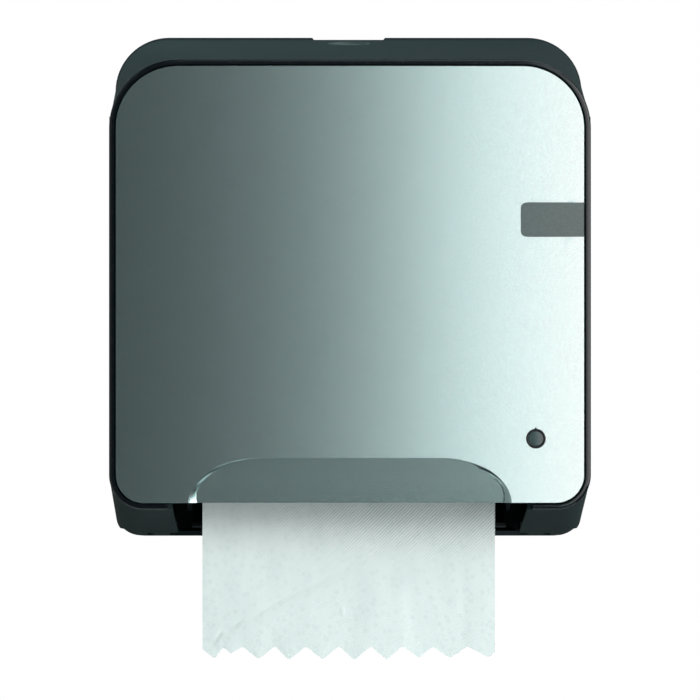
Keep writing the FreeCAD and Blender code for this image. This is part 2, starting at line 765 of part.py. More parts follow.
def latch():
    """The sprung slide: a stem in the housing, an arm forward and a hooked nose."""
    half = LATCH_WIDTH / 2
    rear = PLATE_THICKNESS + 3 + MOVING_GAP
    stem_front = PLATE_THICKNESS + 14 - MOVING_GAP
    arm_top = LATCH_TOP_Z - LATCH_HOOK
    low = arm_top - 17
    profile = prism_x([
        (rear, low, 0),
        (stem_front, low, 0),
        (stem_front, arm_top - 6, 3),
        (LATCH_NOSE_U + LATCH_NOSE_LENGTH, arm_top - 6, 2),
        (LATCH_NOSE_U + LATCH_NOSE_LENGTH, LATCH_TOP_Z - 3.5, 0),
        (LATCH_NOSE_U + 1, LATCH_TOP_Z, 0),
        (LATCH_NOSE_U, LATCH_TOP_Z, 0),
        (LATCH_NOSE_U, arm_top, 0),
        (rear, arm_top, 0),
    ], -half, half)
    slim = block(-half - 1, -half + 1.8, stem_front - 5, stem_front + 1, low - 1, arm_top - 1)
    return less(profile, both_sides(slim))


def latch_spring():
    low = LATCH_TOP_Z - 39
    high = LATCH_TOP_Z - LATCH_HOOK - 17 - 0.1
    coil = wire_run(coil_points(3.6, low + 1, high - 1, 4), SPRING_WIRE)
    coil.translate(at(0, PLATE_THICKNESS + 8.5, 0))
    return coil


# Roll arms and hubs
def arm_profile(root_u, x0, x1):
    """A tapering arm from its root to the rounded nose round the roll's axis."""
    arm = prism_x([
        (root_u, ROLL_Z - 38, 0),
        (ROLL_U + 2, ROLL_Z - ARM_NOSE_RADIUS, 0),
        (ROLL_U + 2, ROLL_Z + ARM_NOSE_RADIUS, 0),
        (root_u, ROLL_Z + 38, 0),
    ], x0, x1)
    nose = rod_x(ARM_NOSE_RADIUS, x0, x1, ROLL_U, ROLL_Z)
    ribs = [
        prism_x([
            (root_u, ROLL_Z + way * 30, 0),
            (ROLL_U - 4, ROLL_Z + way * 16, 0),
            (ROLL_U - 4, ROLL_Z + way * 13, 0),
            (root_u, ROLL_Z + way * 26, 0),
        ], x1 - 1, x1 + ARM_RIB_HEIGHT)
        for way in (-1, 1)
    ]
    return fused([arm, nose] + ribs)


def left_roll_arm():
    inner = ARM_INNER_X
    outer = ARM_INNER_X + ARM_THICKNESS
    arm = arm_profile(PLATE_THICKNESS, inner, outer)
    foot = block(inner, outer + 12, PLATE_THICKNESS, PLATE_THICKNESS + 3, ROLL_Z - 38, ROLL_Z + 38)
    tabs = [tab(x, z, 0) for x, z in arm_tab_places()]
    return mirrored(fused([arm, foot] + tabs).cut(hub_stub(SEAT_GAP)))


def hub_stub(growth):
    """The square end of a hub, or with a growth its hole in the arm."""
    half = HUB_STUB_WIDTH / 2 + growth
    end = ARM_INNER_X + ARM_THICKNESS + growth
    return block(ARM_INNER_X - 1, end, ROLL_U - half, ROLL_U + half, ROLL_Z - half, ROLL_Z + half)


def roll_hub():
    """A flange with a tapered cross of fins that carries one end of the core, for the right-hand side."""
    face = TOWEL_WIDTH / 2 + MOVING_GAP + 0.1
    tip = face - HUB_SPIGOT_LENGTH
    base = CORE_RADIUS - CORE_WALL - MOVING_GAP
    slim = base - HUB_TAPER
    flange = rod_x(HUB_FLANGE_RADIUS, face, ARM_INNER_X - SEAT_GAP, ROLL_U, ROLL_Z)
    outline = [(tip, -slim), (face, -base), (face, base), (tip, slim)]
    upright = prism_u([(x, ROLL_Z + reach, 0) for x, reach in outline], ROLL_U - 2, ROLL_U + 2)
    level = prism_z([(x, ROLL_U + reach, 0) for x, reach in outline], ROLL_Z - 2, ROLL_Z + 2)
    return fused([flange, upright, level, hub_stub(0)])


def right_roll_arm():
    """The arm that swings outwards on its pin to let the roll in."""
    inner = ARM_INNER_X
    outer = ARM_INNER_X + ARM_THICKNESS
    arm = arm_profile(ARM_PIVOT_U + 2, inner, outer)
    knuckle = rod_z(ARM_KNUCKLE_RADIUS, ROLL_Z - 30, ROLL_Z + 30, ARM_PIVOT_X, ARM_PIVOT_U)
    web = block(inner, ARM_PIVOT_X, ARM_PIVOT_U - 2, ARM_PIVOT_U + 6, ROLL_Z - 30, ROLL_Z + 30)
    room = [
        block(inner - 1, ARM_PIVOT_X + 10, 0, ARM_PIVOT_U + 8, z0 - MOVING_GAP, z1 + MOVING_GAP)
        for z0, z1 in lug_heights()
    ]
    return less(fused([arm, knuckle, web]), [arm_pin_bore(), hub_stub(SEAT_GAP)] + room)


def lug_heights():
    return [(ROLL_Z - 36, ROLL_Z - 30.3), (ROLL_Z + 30.3, ROLL_Z + 36)]


def arm_lugs():
    """Lugs on the back plate that hold the right arm's hinge pin."""
    lugs = []
    for z0, z1 in lug_heights():
        lugs.append(prism_z([
            (ARM_PIVOT_X - 9, PLATE_THICKNESS - 1, 0),
            (ARM_PIVOT_X + 9, PLATE_THICKNESS - 1, 0),
            (ARM_PIVOT_X + 9, ARM_PIVOT_U, 0),
            (ARM_PIVOT_X + 4, ARM_PIVOT_U + 6, 0),
            (ARM_PIVOT_X - 4, ARM_PIVOT_U + 6, 0),
            (ARM_PIVOT_X - 9, ARM_PIVOT_U, 0),
        ], z0, z1))
    return lugs


def arm_pin_bore():
    return rod_z(ARM_PIVOT_PIN_RADIUS + RUNNING_GAP, ROLL_Z - 60, ROLL_Z + 60, ARM_PIVOT_X, ARM_PIVOT_U)


def arm_hinge_pin():
    return rod_z(ARM_PIVOT_PIN_RADIUS, ROLL_Z - 37, ROLL_Z + 37, ARM_PIVOT_X, ARM_PIVOT_U)


# Towel
def towel_roll():
    x0 = -TOWEL_WIDTH / 2
    return tube_x(ROLL_RADIUS, CORE_RADIUS, x0, x0 + TOWEL_WIDTH, ROLL_U, ROLL_Z)


def roll_core():
    x0 = -TOWEL_WIDTH / 2
    return tube_x(CORE_RADIUS, CORE_RADIUS - CORE_WALL, x0, x0 + TOWEL_WIDTH, ROLL_U, ROLL_Z)


WEB_GAP = MOVING_GAP


def towel_web():
    """The web from the roll's rear, over the drum's front and straight down to the exit."""
    roll = (ROLL_U, ROLL_Z)
    drum = (DRUM_U, DRUM_Z)
    span = (roll[0] - drum[0], roll[1] - drum[1])
    distance = math.hypot(*span)
    lean = math.atan2(-span[0], span[1])

    def side(offset):
        drum_reach = DRUM_RADIUS + WEB_GAP + offset
        roll_reach = ROLL_RADIUS + WEB_GAP + TOWEL_THICKNESS - offset
        angle = math.asin((drum_reach + roll_reach) / distance) + lean
        on_drum = (drum[0] + drum_reach * math.cos(angle), drum[1] + drum_reach * math.sin(angle))
        on_roll = (roll[0] - roll_reach * math.cos(angle), roll[1] - roll_reach * math.sin(angle))
        half = angle / 2
        crown = (drum[0] + drum_reach * math.cos(half), drum[1] + drum_reach * math.sin(half))
        foot = (drum[0] + drum_reach, drum[1])
        exit_point = (drum[0] + drum_reach, TAIL_TOP_Z)
        return [on_roll, on_drum, crown, foot, exit_point]

    x0 = TOWEL_OFFSET_X - TOWEL_WIDTH / 2
    near = [at(x0, u, z) for u, z in side(0)]
    far = [at(x0, u, z) for u, z in side(TOWEL_THICKNESS)]

    def line(a, b):
        return Part.LineSegment(a, b).toShape()

    wire = Part.Wire([
        line(near[0], near[1]),
        Part.Arc(near[1], near[2], near[3]).toShape(),
        line(near[3], near[4]),
        line(near[4], far[4]),
        line(far[4], far[3]),
        Part.Arc(far[3], far[2], far[1]).toShape(),
        line(far[1], far[0]),
        line(far[0], near[0]),
    ])
    return Part.Face(wire).extrude(Vector(TOWEL_WIDTH, 0, 0))


def towel_tail():
    """The hanging end, with the zigzag that the knife's teeth leave."""
    x0 = TOWEL_OFFSET_X - TOWEL_WIDTH / 2
    pitch = TOWEL_WIDTH / TOOTH_COUNT
    u = DRUM_U + DRUM_RADIUS + WEB_GAP
    valley = TAIL_TIP_Z + TOOTH_HEIGHT
    points = [at(x0, u, TAIL_TOP_Z), at(x0, u, valley)]
    for i in range(TOOTH_COUNT):
        points.append(at(x0 + pitch * (i + 0.5), u, TAIL_TIP_Z))
        points.append(at(x0 + pitch * (i + 1), u, valley))
    points.append(at(x0 + TOWEL_WIDTH, u, TAIL_TOP_Z))
    face = Part.Face(Part.makePolygon(points + [points[0]]))
    return face.extrude(Vector(0, -TOWEL_THICKNESS, 0))


# Cutting drum. Its parts are drawn round the axis and then turned to the rest angle.
def on_drum(shape):
    shape.rotate(at(0, DRUM_U, DRUM_Z), Vector(1, 0, 0), -DRUM_REST_ANGLE)
    return shape


def drum_sector(outer, inner, x0, x1, low_angle, high_angle):
    """A ring sector round the drum's axis, with angles from the front upwards."""
    def point(radius, angle):
        a = math.radians(angle)
        return at(x0, DRUM_U + radius * math.cos(a), DRUM_Z + radius * math.sin(a))

    middle = (low_angle + high_angle) / 2
    wire = Part.Wire([
        Part.Arc(point(outer, low_angle), point(outer, middle), point(outer, high_angle)).toShape(),
        Part.LineSegment(point(outer, high_angle), point(inner, high_angle)).toShape(),
        Part.Arc(point(inner, high_angle), point(inner, middle), point(inner, low_angle)).toShape(),
        Part.LineSegment(point(inner, low_angle), point(outer, low_angle)).toShape(),
    ])
    return Part.Face(wire).extrude(Vector(x1 - x0, 0, 0))


DRUM_SKIN = DRUM_RADIUS - GRIP_PROUD
HALVES = {
    "upper": (SLOT_UPPER_ANGLE, 179.8),
    "lower": (-179.8, SLOT_LOWER_ANGLE),
}
RIB_ANGLES = {
    "upper": (24, 172),
    "lower": (-172, -90),
}


def drum_grip(centre, outer, growth):
    """One rubber strip along the drum, or with a growth the groove for it."""
    half_angle = math.degrees((GRIP_WIDTH / 2 + growth) / DRUM_RADIUS)
    reach = GRIP_HALF_LENGTH + growth
    return drum_sector(outer, DRUM_SKIN - GRIP_DEPTH, -reach, reach, centre - half_angle, centre + half_angle)


def drum_half(name):
    """A half shell with ribs and with grooves for the grips."""
    low, high = HALVES[name]
    half = DRUM_HALF_LENGTH
    shell = drum_sector(DRUM_SKIN, DRUM_SKIN - DRUM_WALL, -half, half, low, high)
    rib_low, rib_high = RIB_ANGLES[name]
    ribs = [
        drum_sector(DRUM_SKIN - 1, DRUM_SKIN - DRUM_WALL - 4, x - 1, x + 1, rib_low, rib_high) for x in (-35, 35)
    ]
    grooves = [drum_grip(centre, DRUM_RADIUS + 1, SEAT_GAP) for centre in GRIP_ANGLES if low < centre < high]
    return less(fused([shell] + ribs), grooves)


def drum_grips():
    """Rubber strips in the grooves, standing just proud of the shells."""
    return group([drum_grip(centre, DRUM_RADIUS, 0) for centre in GRIP_ANGLES])


def drum_end(outer_x):
    """A drum end with its stub axle and the lugs that hold the half shells, for the right-hand side."""
    x0 = DRUM_HALF_LENGTH - 6
    x1 = DRUM_HALF_LENGTH
    lug_outer = DRUM_SKIN - DRUM_WALL - 0.8
    disc = rod_x(DRUM_SKIN, x1, x1 + DRUM_END_THICKNESS, DRUM_U, DRUM_Z)
    stub = rod_x(AXLE_RADIUS, x1, outer_x, DRUM_U, DRUM_Z)
    lugs = []
    for angle in DRUM_LUG_ANGLES:
        lug = block(x0, x1 + 1, DRUM_U + lug_outer - 2.5, DRUM_U + lug_outer, DRUM_Z - 5, DRUM_Z + 5)
        lug.rotate(at(0, DRUM_U, DRUM_Z), Vector(1, 0, 0), -angle)
        lugs.append(lug)
    knife_u = DRUM_U + KNIFE_PIVOT[0]
    knife_z = DRUM_Z + KNIFE_PIVOT[1]
    pin_bore = rod_x(KNIFE_PIN_RADIUS + RUNNING_GAP, x1 - 1, x1 + 1.5, knife_u, knife_z)
    return fused([disc, stub] + lugs).cut(pin_bore)


def right_drum_end():
    x = FRAME_INNER_X + FRAME_THICKNESS + BUSHING_FLANGE + 0.3 + CRANK_THICKNESS
    return on_drum(drum_end(x + 1.5))


def wheel_inner_x():
    return FRAME_INNER_X + FRAME_THICKNESS + BUSHING_FLANGE + RATCHET_WIDTH + PRESS_GAP


def left_drum_end():
    end = drum_end(wheel_inner_x() + WHEEL_WIDTH - 4)
    follower_u = DRUM_U + FOLLOWER_PLACE[0]
    follower_z = DRUM_Z + FOLLOWER_PLACE[1]
    pivot_u = DRUM_U + KNIFE_PIVOT[0]
    pivot_z = DRUM_Z + KNIFE_PIVOT[1]
    reach = math.hypot(follower_u - pivot_u, follower_z - pivot_z)
    start = math.degrees(math.atan2(follower_z - pivot_z, follower_u - pivot_u))
    half_width = FOLLOWER_PIN_RADIUS + 2 * MOVING_GAP
    window = arc_window(pivot_u, pivot_z, reach, start + 5, start - KNIFE_SWING - 5, half_width)
    return on_drum(mirrored(end.cut(window)))


def arc_window(u, z, reach, from_angle, to_angle, half_width):
    """A curved slot through the drum's end for the follower's pin."""
    x0 = DRUM_HALF_LENGTH - 12
    x1 = DRUM_HALF_LENGTH + DRUM_END_THICKNESS + 3

    def point(radius, angle):
        a = math.radians(angle)
        return at(x0, u + radius * math.cos(a), z + radius * math.sin(a))

    middle = (from_angle + to_angle) / 2
    outer = reach + half_width
    inner = reach - half_width
    wire = Part.Wire([
        Part.Arc(point(outer, from_angle), point(outer, middle), point(outer, to_angle)).toShape(),
        Part.LineSegment(point(outer, to_angle), point(inner, to_angle)).toShape(),
        Part.Arc(point(inner, to_angle), point(inner, middle), point(inner, from_angle)).toShape(),
        Part.LineSegment(point(inner, from_angle), point(outer, from_angle)).toShape(),
    ])
    return Part.Face(wire).extrude(Vector(x1 - x0, 0, 0))


# Knife
def knife_pin():
    u = DRUM_U + KNIFE_PIVOT[0]
    z = DRUM_Z + KNIFE_PIVOT[1]
    reach = DRUM_HALF_LENGTH + 1.4
    return on_drum(rod_x(KNIFE_PIN_RADIUS, -reach, reach, u, z))


def blade_frame():
    """The blade's tip, root and upper normal in the drum's own frame."""
    a = math.radians(BLADE_ANGLE)
    along = (math.cos(a), math.sin(a))
    tip = (DRUM_U + BLADE_TIP[0], DRUM_Z + BLADE_TIP[1])
    root = (tip[0] - BLADE_WIDTH * along[0], tip[1] - BLADE_WIDTH * along[1])
    normal = (-along[1], along[0])
    return tip, root, along, normal


def knife_blade():
    """A steel strip whose serrated edge has the towel's own zigzag."""
    tip, root, along, normal = blade_frame()
    pitch = TOWEL_WIDTH / TOOTH_COUNT
    x0 = TOWEL_OFFSET_X - TOWEL_WIDTH / 2

    def point(x, reach):
        return at(x, root[0] + along[0] * reach, root[1] + along[1] * reach)

    valley = BLADE_WIDTH - TOOTH_HEIGHT
    points = [point(x0, 0), point(x0, valley)]
    for i in range(TOOTH_COUNT):
        points.append(point(x0 + pitch * (i + 0.5), BLADE_WIDTH))
        points.append(point(x0 + pitch * (i + 1), valley))
    points.append(point(x0 + TOWEL_WIDTH, 0))
    face = Part.Face(Part.makePolygon(points + [points[0]]))
    blade = face.extrude(Vector(0, -normal[0], normal[1]) * BLADE_THICKNESS)
    slots = [blade_stake(x, SEAT_GAP / 3) for x in STAKE_PLACES]
    return on_drum(less(blade, slots))


def blade_stake(x, growth):
    """A rectangular stake that holds the blade on the carrier, or with a growth its slot."""
    tip, root, along, normal = blade_frame()

    def corner(reach, rise):
        return (root[0] + along[0] * reach + normal[0] * rise, root[1] + along[1] * reach + normal[1] * rise, 0)

    near = 3 - growth
    far = 7 + growth
    top = BLADE_THICKNESS + 0.8
    return prism_x([corner(near, -1), corner(far, -1), corner(far, top), corner(near, top)],
                   x - 5 - growth, x + 5 + growth)


def knife_carrier():
    """The bar that swings on the knife pin and carries the blade."""
    tip, root, along, normal = blade_frame()
    pivot = (DRUM_U + KNIFE_PIVOT[0], DRUM_Z + KNIFE_PIVOT[1])
    half = DRUM_HALF_LENGTH - 9

    def under(reach, drop):
        return (root[0] + along[0] * reach - normal[0] * drop, root[1] + along[1] * reach - normal[1] * drop, 0)

    bar = prism_x([
        under(0, 0.01),
        under(11, 0.01),
        under(11, 4),
        (pivot[0] + 4, pivot[1] + 2, 0),
        (pivot[0] - 3.5, pivot[1] + 2, 0),
        under(0, 5),
    ], -half, half)
    boss = rod_x(KNIFE_BOSS_RADIUS, -half - 0.5, half + 0.5, *pivot)
    stakes = [blade_stake(x, 0) for x in STAKE_PLACES]
    carrier = fused([bar, boss, follower_lever(-half)] + stakes)
    reach = half + 10
    return on_drum(carrier.cut(rod_x(KNIFE_PIN_RADIUS + RUNNING_GAP, -reach, reach, *pivot)))


def follower_lever(x1):
    """The lever at the carrier's left end that reaches the cam shoe through the drum's end."""
    pivot = (DRUM_U + KNIFE_PIVOT[0], DRUM_Z + KNIFE_PIVOT[1])
    place = (DRUM_U + FOLLOWER_PLACE[0], DRUM_Z + FOLLOWER_PLACE[1])
    arm = prism_x([
        (pivot[0], pivot[1] - 4, 0),
        (pivot[0], pivot[1] + 4, 0),
        (place[0] - 3, place[1] + 3, 0),
        (place[0] - 3, place[1] - 3, 0),
    ], x1 - 0.5, x1 + 3)
    pin = rod_x(FOLLOWER_PIN_RADIUS, -FRAME_INNER_X + 0.6, x1 + 1, *place)
    return arm.fuse(pin)


def cam_follower():
    place = (DRUM_U + FOLLOWER_PLACE[0], DRUM_Z + FOLLOWER_PLACE[1])
    x0 = -FRAME_INNER_X + 0.6
    x1 = -(DRUM_HALF_LENGTH + DRUM_END_THICKNESS + 0.4)
    return on_drum(tube_x(FOLLOWER_RADIUS, FOLLOWER_PIN_RADIUS + RUNNING_GAP, x0, x1, *place))


def cam_shoe():
    """The fixed ramp on the left frame that pushes the follower in and the knife out."""
    swing = math.radians(-KNIFE_SWING)
    lever = (FOLLOWER_PLACE[0] - KNIFE_PIVOT[0], FOLLOWER_PLACE[1] - KNIFE_PIVOT[1])
    pushed_u = KNIFE_PIVOT[0] + lever[0] * math.cos(swing) - lever[1] * math.sin(swing)
    pushed_z = KNIFE_PIVOT[1] + lever[0] * math.sin(swing) + lever[1] * math.cos(swing)
    pushed = math.hypot(pushed_u, pushed_z) + FOLLOWER_RADIUS
    rest = math.hypot(*FOLLOWER_PLACE) + FOLLOWER_RADIUS
    outer = rest + 4
    x0 = -FRAME_INNER_X
    x1 = -(DRUM_HALF_LENGTH + DRUM_END_THICKNESS + 0.5)

    def point(radius, angle):
        a = math.radians(angle)
        return at(x0, DRUM_U + radius * math.cos(a), DRUM_Z + radius * math.sin(a))

    wire = Part.Wire([
        Part.Arc(point(outer, -98), point(outer, -68), point(outer, -38)).toShape(),
        Part.LineSegment(point(outer, -38), point(rest + 0.5, -38)).toShape(),
        Part.LineSegment(point(rest + 0.5, -38), point(pushed, -60)).toShape(),
        Part.Arc(point(pushed, -60), point(pushed, -68), point(pushed, -76)).toShape(),
        Part.LineSegment(point(pushed, -76), point(rest + 0.5, -98)).toShape(),
        Part.LineSegment(point(rest + 0.5, -98), point(outer, -98)).toShape(),
    ])
    return Part.Face(wire).extrude(Vector(x1 - x0, 0, 0))


# Side frames
def side_frame():
    """The right-hand side frame: a ribbed plate with a foot on the back plate."""
    inner = FRAME_INNER_X
    outer = FRAME_INNER_X + FRAME_THICKNESS
    plate = prism_x([
        (PLATE_THICKNESS, -164, 0),
        (PLATE_THICKNESS, -38, 0),
        (34, -42, 0),
        (150, -58, 14),
        (178, -84, 14),
        (178, -124, 14),
        (150, -152, 14),
        (60, -156, 0),
        (34, -164, 0),
    ], inner, outer)
    foot = block(inner, outer + FRAME_FOOT_WIDTH, PLATE_THICKNESS, PLATE_THICKNESS + 3, -160, -42)
    rib_top = prism_x([(6, -46, 0), (60, -50, 0), (60, -53, 0), (6, -49, 0)], outer - 1, outer + 3)
    rib_low = prism_x([(6, -150, 0), (70, -148, 0), (70, -151, 0), (6, -153, 0)], outer - 1, outer + 3)
    rib_end = DRUM_U - WHEEL_RADIUS - 5
    rib_mid = block(outer - 1, outer + 3, 6, rib_end, -107, -104)
    tabs = [tab(x, z, 0) for x, z in frame_tab_places()]
    frame = fused([plate, foot, rib_top, rib_low, rib_mid] + tabs)
    return less(frame, [
        rod_x(AXLE_RADIUS + BUSHING_WALL + SEAT_GAP, inner - 1, outer + 1, DRUM_U, DRUM_Z),
        rod_x(PINCH_SHAFT_RADIUS + RUNNING_GAP, inner - 1, outer + 1, *pinch_axis()),
    ])


def right_frame():
    outer = FRAME_INNER_X + FRAME_THICKNESS
    post = rod_x(SPRING_POST_RADIUS, outer - 1, outer + 12, *SPRING_POST)
    return side_frame().fuse(post)


def left_frame():
    frame = side_frame()
    outer = FRAME_INNER_X + FRAME_THICKNESS
    bore = rod_x(PAWL_PIN_RADIUS + SEAT_GAP, FRAME_INNER_X - 1, outer + 1, *PAWL_PIVOT)
    return mirrored(frame.cut(bore))


def drum_bushings():
    """The drum's two plain bearings in the side frames, with square flanges."""
    x0 = FRAME_INNER_X - BUSHING_FLANGE
    x1 = FRAME_INNER_X + FRAME_THICKNESS + 0.5
    half = AXLE_RADIUS + BUSHING_WALL + 2
    sleeve = rod_x(AXLE_RADIUS + BUSHING_WALL, x0, x1, DRUM_U, DRUM_Z)
    flange = block(x0, FRAME_INNER_X, DRUM_U - half, DRUM_U + half, DRUM_Z - half, DRUM_Z + half)
    bore = rod_x(AXLE_RADIUS + RUNNING_GAP, x0 - 1, x1 + 1, DRUM_U, DRUM_Z)
    return group(both_sides(sleeve.fuse(flange).cut(bore)))


def pinch_axis():
    a = math.radians(PINCH_ANGLE)
    reach = DRUM_RADIUS + WEB_GAP + TOWEL_THICKNESS + MOVING_GAP + PINCH_RADIUS
    return (DRUM_U + reach * math.cos(a), DRUM_Z + reach * math.sin(a))


def pinch_shaft():
    reach = FRAME_INNER_X + FRAME_THICKNESS + 1.5
    return rod_x(PINCH_SHAFT_RADIUS, -reach, reach, *pinch_axis())


def pinch_sleeves():
    pitch = TOWEL_WIDTH / PINCH_SLEEVES
    sleeves = []
    for i in range(PINCH_SLEEVES):
        middle = -TOWEL_WIDTH / 2 + pitch * (i + 0.5)
        half = pitch / 2 - 5
        sleeves.append(tube_x(PINCH_RADIUS, PINCH_SHAFT_RADIUS, middle - half, middle + half, *pinch_axis()))
    return group(sleeves)


def drum_guard():
    """The bent guard under the drum, from the back plate to its lip above the exit."""
    half = FRAME_INNER_X - 1
    return prism_x([
        (PLATE_THICKNESS, -134, 0),
        (PLATE_THICKNESS + 2, -134, 0),
        (PLATE_THICKNESS + 2, -158, 2),
        (26, -165, 3),
        (66, -171.6, 1.0),
        (68, -174.6, 0.6),
        (66, -174.9, 0),
        (64.4, -173.5, 0.5),
        (24, -167, 3),
        (PLATE_THICKNESS, -159.5, 0),
    ], -half, half)


# Ratchet, pawl and hand wheel on the left
def toothed_prism(x0, x1, count, profile):
    """A prism whose outline repeats (radius, share of the pitch) points round the drum's axis."""
    points = []
    for i in range(count):
        for radius, share in profile:
            a = 2 * math.pi * (i + share) / count
            points.append(at(x0, DRUM_U + radius * math.cos(a), DRUM_Z + radius * math.sin(a)))
    return Part.Face(Part.makePolygon(points + [points[0]])).extrude(Vector(x1 - x0, 0, 0))


def ratchet_wheel():
    """A saw-toothed wheel on the left stub axle."""
    x1 = -(FRAME_INNER_X + FRAME_THICKNESS + BUSHING_FLANGE)
    profile = [(RATCHET_RADIUS, 0), (RATCHET_RADIUS - RATCHET_DEPTH, RATCHET_FACE_SHARE)]
    wheel = toothed_prism(x1, x1 - RATCHET_WIDTH, RATCHET_TEETH, profile)
    return wheel.cut(rod_x(AXLE_RADIUS + PRESS_GAP, x1 - RATCHET_WIDTH - 1, x1 + 1, DRUM_U, DRUM_Z))


def hand_wheel():
    """A ribbed wheel for feeding the towel by hand."""
    x0 = wheel_inner_x()
    x1 = x0 + WHEEL_WIDTH
    low = WHEEL_RADIUS - WHEEL_RIB_HEIGHT
    profile = [(WHEEL_RADIUS, 0.1), (WHEEL_RADIUS, 0.4), (low, 0.5), (low, 1.0)]
    wheel = toothed_prism(x0, x1, WHEEL_RIBS, profile)
    return mirrored(wheel.cut(rod_x(AXLE_RADIUS + PRESS_GAP, x0 - 1, x1 - 2, DRUM_U, DRUM_Z)))


def pawl_tip():
    """The place of the lifted pawl's nose, clear of the teeth, seen from the drum's axis."""
    pitch = 2 * math.pi / RATCHET_TEETH
    angle = pitch * (PAWL_TOOTH + PAWL_REST_SHARE)
    reach = RATCHET_RADIUS + MOVING_GAP
    return angle, reach


def pawl():
    x1 = -(FRAME_INNER_X + FRAME_THICKNESS + BUSHING_FLANGE)
    angle, reach = pawl_tip()

    def point(radius, turn):
        return (DRUM_U + radius * math.cos(angle + turn), DRUM_Z + radius * math.sin(angle + turn), 0)

    arm = prism_x([
        (PAWL_PIVOT[0] - 5, PAWL_PIVOT[1] + 2, 0),
        (PAWL_PIVOT[0] - 1, PAWL_PIVOT[1] + 5, 0),
        point(reach + 5, 0),
        point(reach, 0),
        point(reach + 1.6, 0.12),
        (PAWL_PIVOT[0] + 1, PAWL_PIVOT[1] - 5, 0),
        (PAWL_PIVOT[0] - 5, PAWL_PIVOT[1] - 4, 0),
    ], x1 - RATCHET_WIDTH + 0.5, x1 - 0.5)
    return arm.cut(rod_x(PAWL_PIN_RADIUS + RUNNING_GAP, x1 - RATCHET_WIDTH, x1, *PAWL_PIVOT))


def pawl_pin():
    inner = -(FRAME_INNER_X - 0.8)
    outer = -(FRAME_INNER_X + FRAME_THICKNESS + BUSHING_FLANGE + RATCHET_WIDTH + 0.5)
    return rod_x(PAWL_PIN_RADIUS, outer, inner, *PAWL_PIVOT)


# Crank and return spring on the right
def crank_angle():
    return math.atan2(SPRING_POST[1] - DRUM_Z, SPRING_POST[0] - DRUM_U)


def crank_pin_axis():
    a = crank_angle()
    return (DRUM_U + CRANK_THROW * math.cos(a), DRUM_Z + CRANK_THROW * math.sin(a))


def crank_arm():
    """The lever on the right stub axle, with the pin that the return spring pulls."""
    x0 = FRAME_INNER_X + FRAME_THICKNESS + BUSHING_FLANGE + 0.3
    x1 = x0 + CRANK_THICKNESS
    a = crank_angle()

    def point(along, across):
        u = DRUM_U + along * math.cos(a) - across * math.sin(a)
        z = DRUM_Z + along * math.sin(a) + across * math.cos(a)
        return (u, z, 0)

    lever = prism_x([
        point(-9, -6),
        point(-5, -10),
        point(5, -10),
        point(CRANK_THROW + 5, -4),
        point(CRANK_THROW + 5, 4),
        point(5, 10),
        point(-5, 10),
        point(-9, 6),
    ], x0, x1)
    pin = rod_x(CRANK_PIN_RADIUS, x1 - 1, x1 + 6, *crank_pin_axis())
    return lever.fuse(pin).cut(rod_x(AXLE_RADIUS + PRESS_GAP, x0 - 1, x1 + 2, DRUM_U, DRUM_Z))


def return_spring():
    """An extension spring between the crank's pin and the frame's post, in one run of wire."""
    x = FRAME_INNER_X + FRAME_THICKNESS + BUSHING_FLANGE + 0.3 + CRANK_THICKNESS + 3
    pin = crank_pin_axis()
    length = math.hypot(pin[0] - SPRING_POST[0], pin[1] - SPRING_POST[1])
    post_loop = SPRING_POST_RADIUS + SEAT_GAP + 1.1 * SPRING_WIRE
    pin_loop = CRANK_PIN_RADIUS + SEAT_GAP + 1.1 * SPRING_WIRE

    def hook(centre_z, radius, way):
        """Eight points round a post, from its open end to the stem."""
        points = []
        for i in range(8):
            angle = math.radians(22.5 + 45 * i)
            reach = radius / math.cos(math.radians(22.5))
            points.append(Vector(0, reach * math.sin(angle), centre_z + way * reach * math.cos(angle)))
        return points

    low_hook = hook(0, post_loop, 1)
    high_hook = hook(length, pin_loop, -1)
    coil = coil_points(SPRING_RADIUS, 14, length - 14, SPRING_TURNS)
    points = low_hook + [Vector(0, 0, 11)] + coil + [Vector(0, 0, length - 11)] + high_hook[::-1]
    spring = wire_run(points, SPRING_WIRE)
    lean = math.degrees(math.atan2(pin[0] - SPRING_POST[0], pin[1] - SPRING_POST[1]))
    spring.rotate(Vector(0, 0, 0), Vector(1, 0, 0), lean)
    spring.translate(at(x, *SPRING_POST))
    return spring


def build():
    return {
        "back_plate": back_plate(),
        "hinge_pins": hinge_pins(),
        "left_frame": left_frame(),
        "right_frame": right_frame(),
        "drum_bushings": drum_bushings(),
        "drum_guard": drum_guard(),
        "cam_shoe": cam_shoe(),
        "left_roll_arm": left_roll_arm(),
        "left_roll_hub": mirrored(roll_hub()),
        "arm_hinge_pin": arm_hinge_pin(),
        "latch_housing": latch_housing(),
        "latch_spring": latch_spring(),
        "pawl_pin": pawl_pin(),
        "return_spring": return_spring(),
        "towel_web": towel_web(),
        "towel_tail": towel_tail(),
        "cover_shell": cover_shell(),
        "front_bead": front_bead(),
        "front_panel": front_panel(),
        "badge_plate": badge_plate(),
        "window_bezel": window_bezel(),
        "window_lens": window_lens(),
        "lock_insert": lock_insert(),
        "latch": latch(),
        "right_roll_arm": right_roll_arm(),
        "right_roll_hub": roll_hub(),
        "towel_roll": towel_roll(),
        "roll_core": roll_core(),
        "upper_drum_half": on_drum(drum_half("upper")),
        "lower_drum_half": on_drum(drum_half("lower")),
        "drum_grips": on_drum(drum_grips()),
        "left_drum_end": left_drum_end(),
        "right_drum_end": right_drum_end(),
        "knife_pin": knife_pin(),
        "knife_carrier": knife_carrier(),
        "knife_blade": knife_blade(),
        "cam_follower": cam_follower(),
        "pinch_shaft": pinch_shaft(),
        "pinch_sleeves": pinch_sleeves(),
        "ratchet_wheel": ratchet_wheel(),
        "hand_wheel": hand_wheel(),
        "crank_arm": crank_arm(),
        "pawl": pawl(),
    }


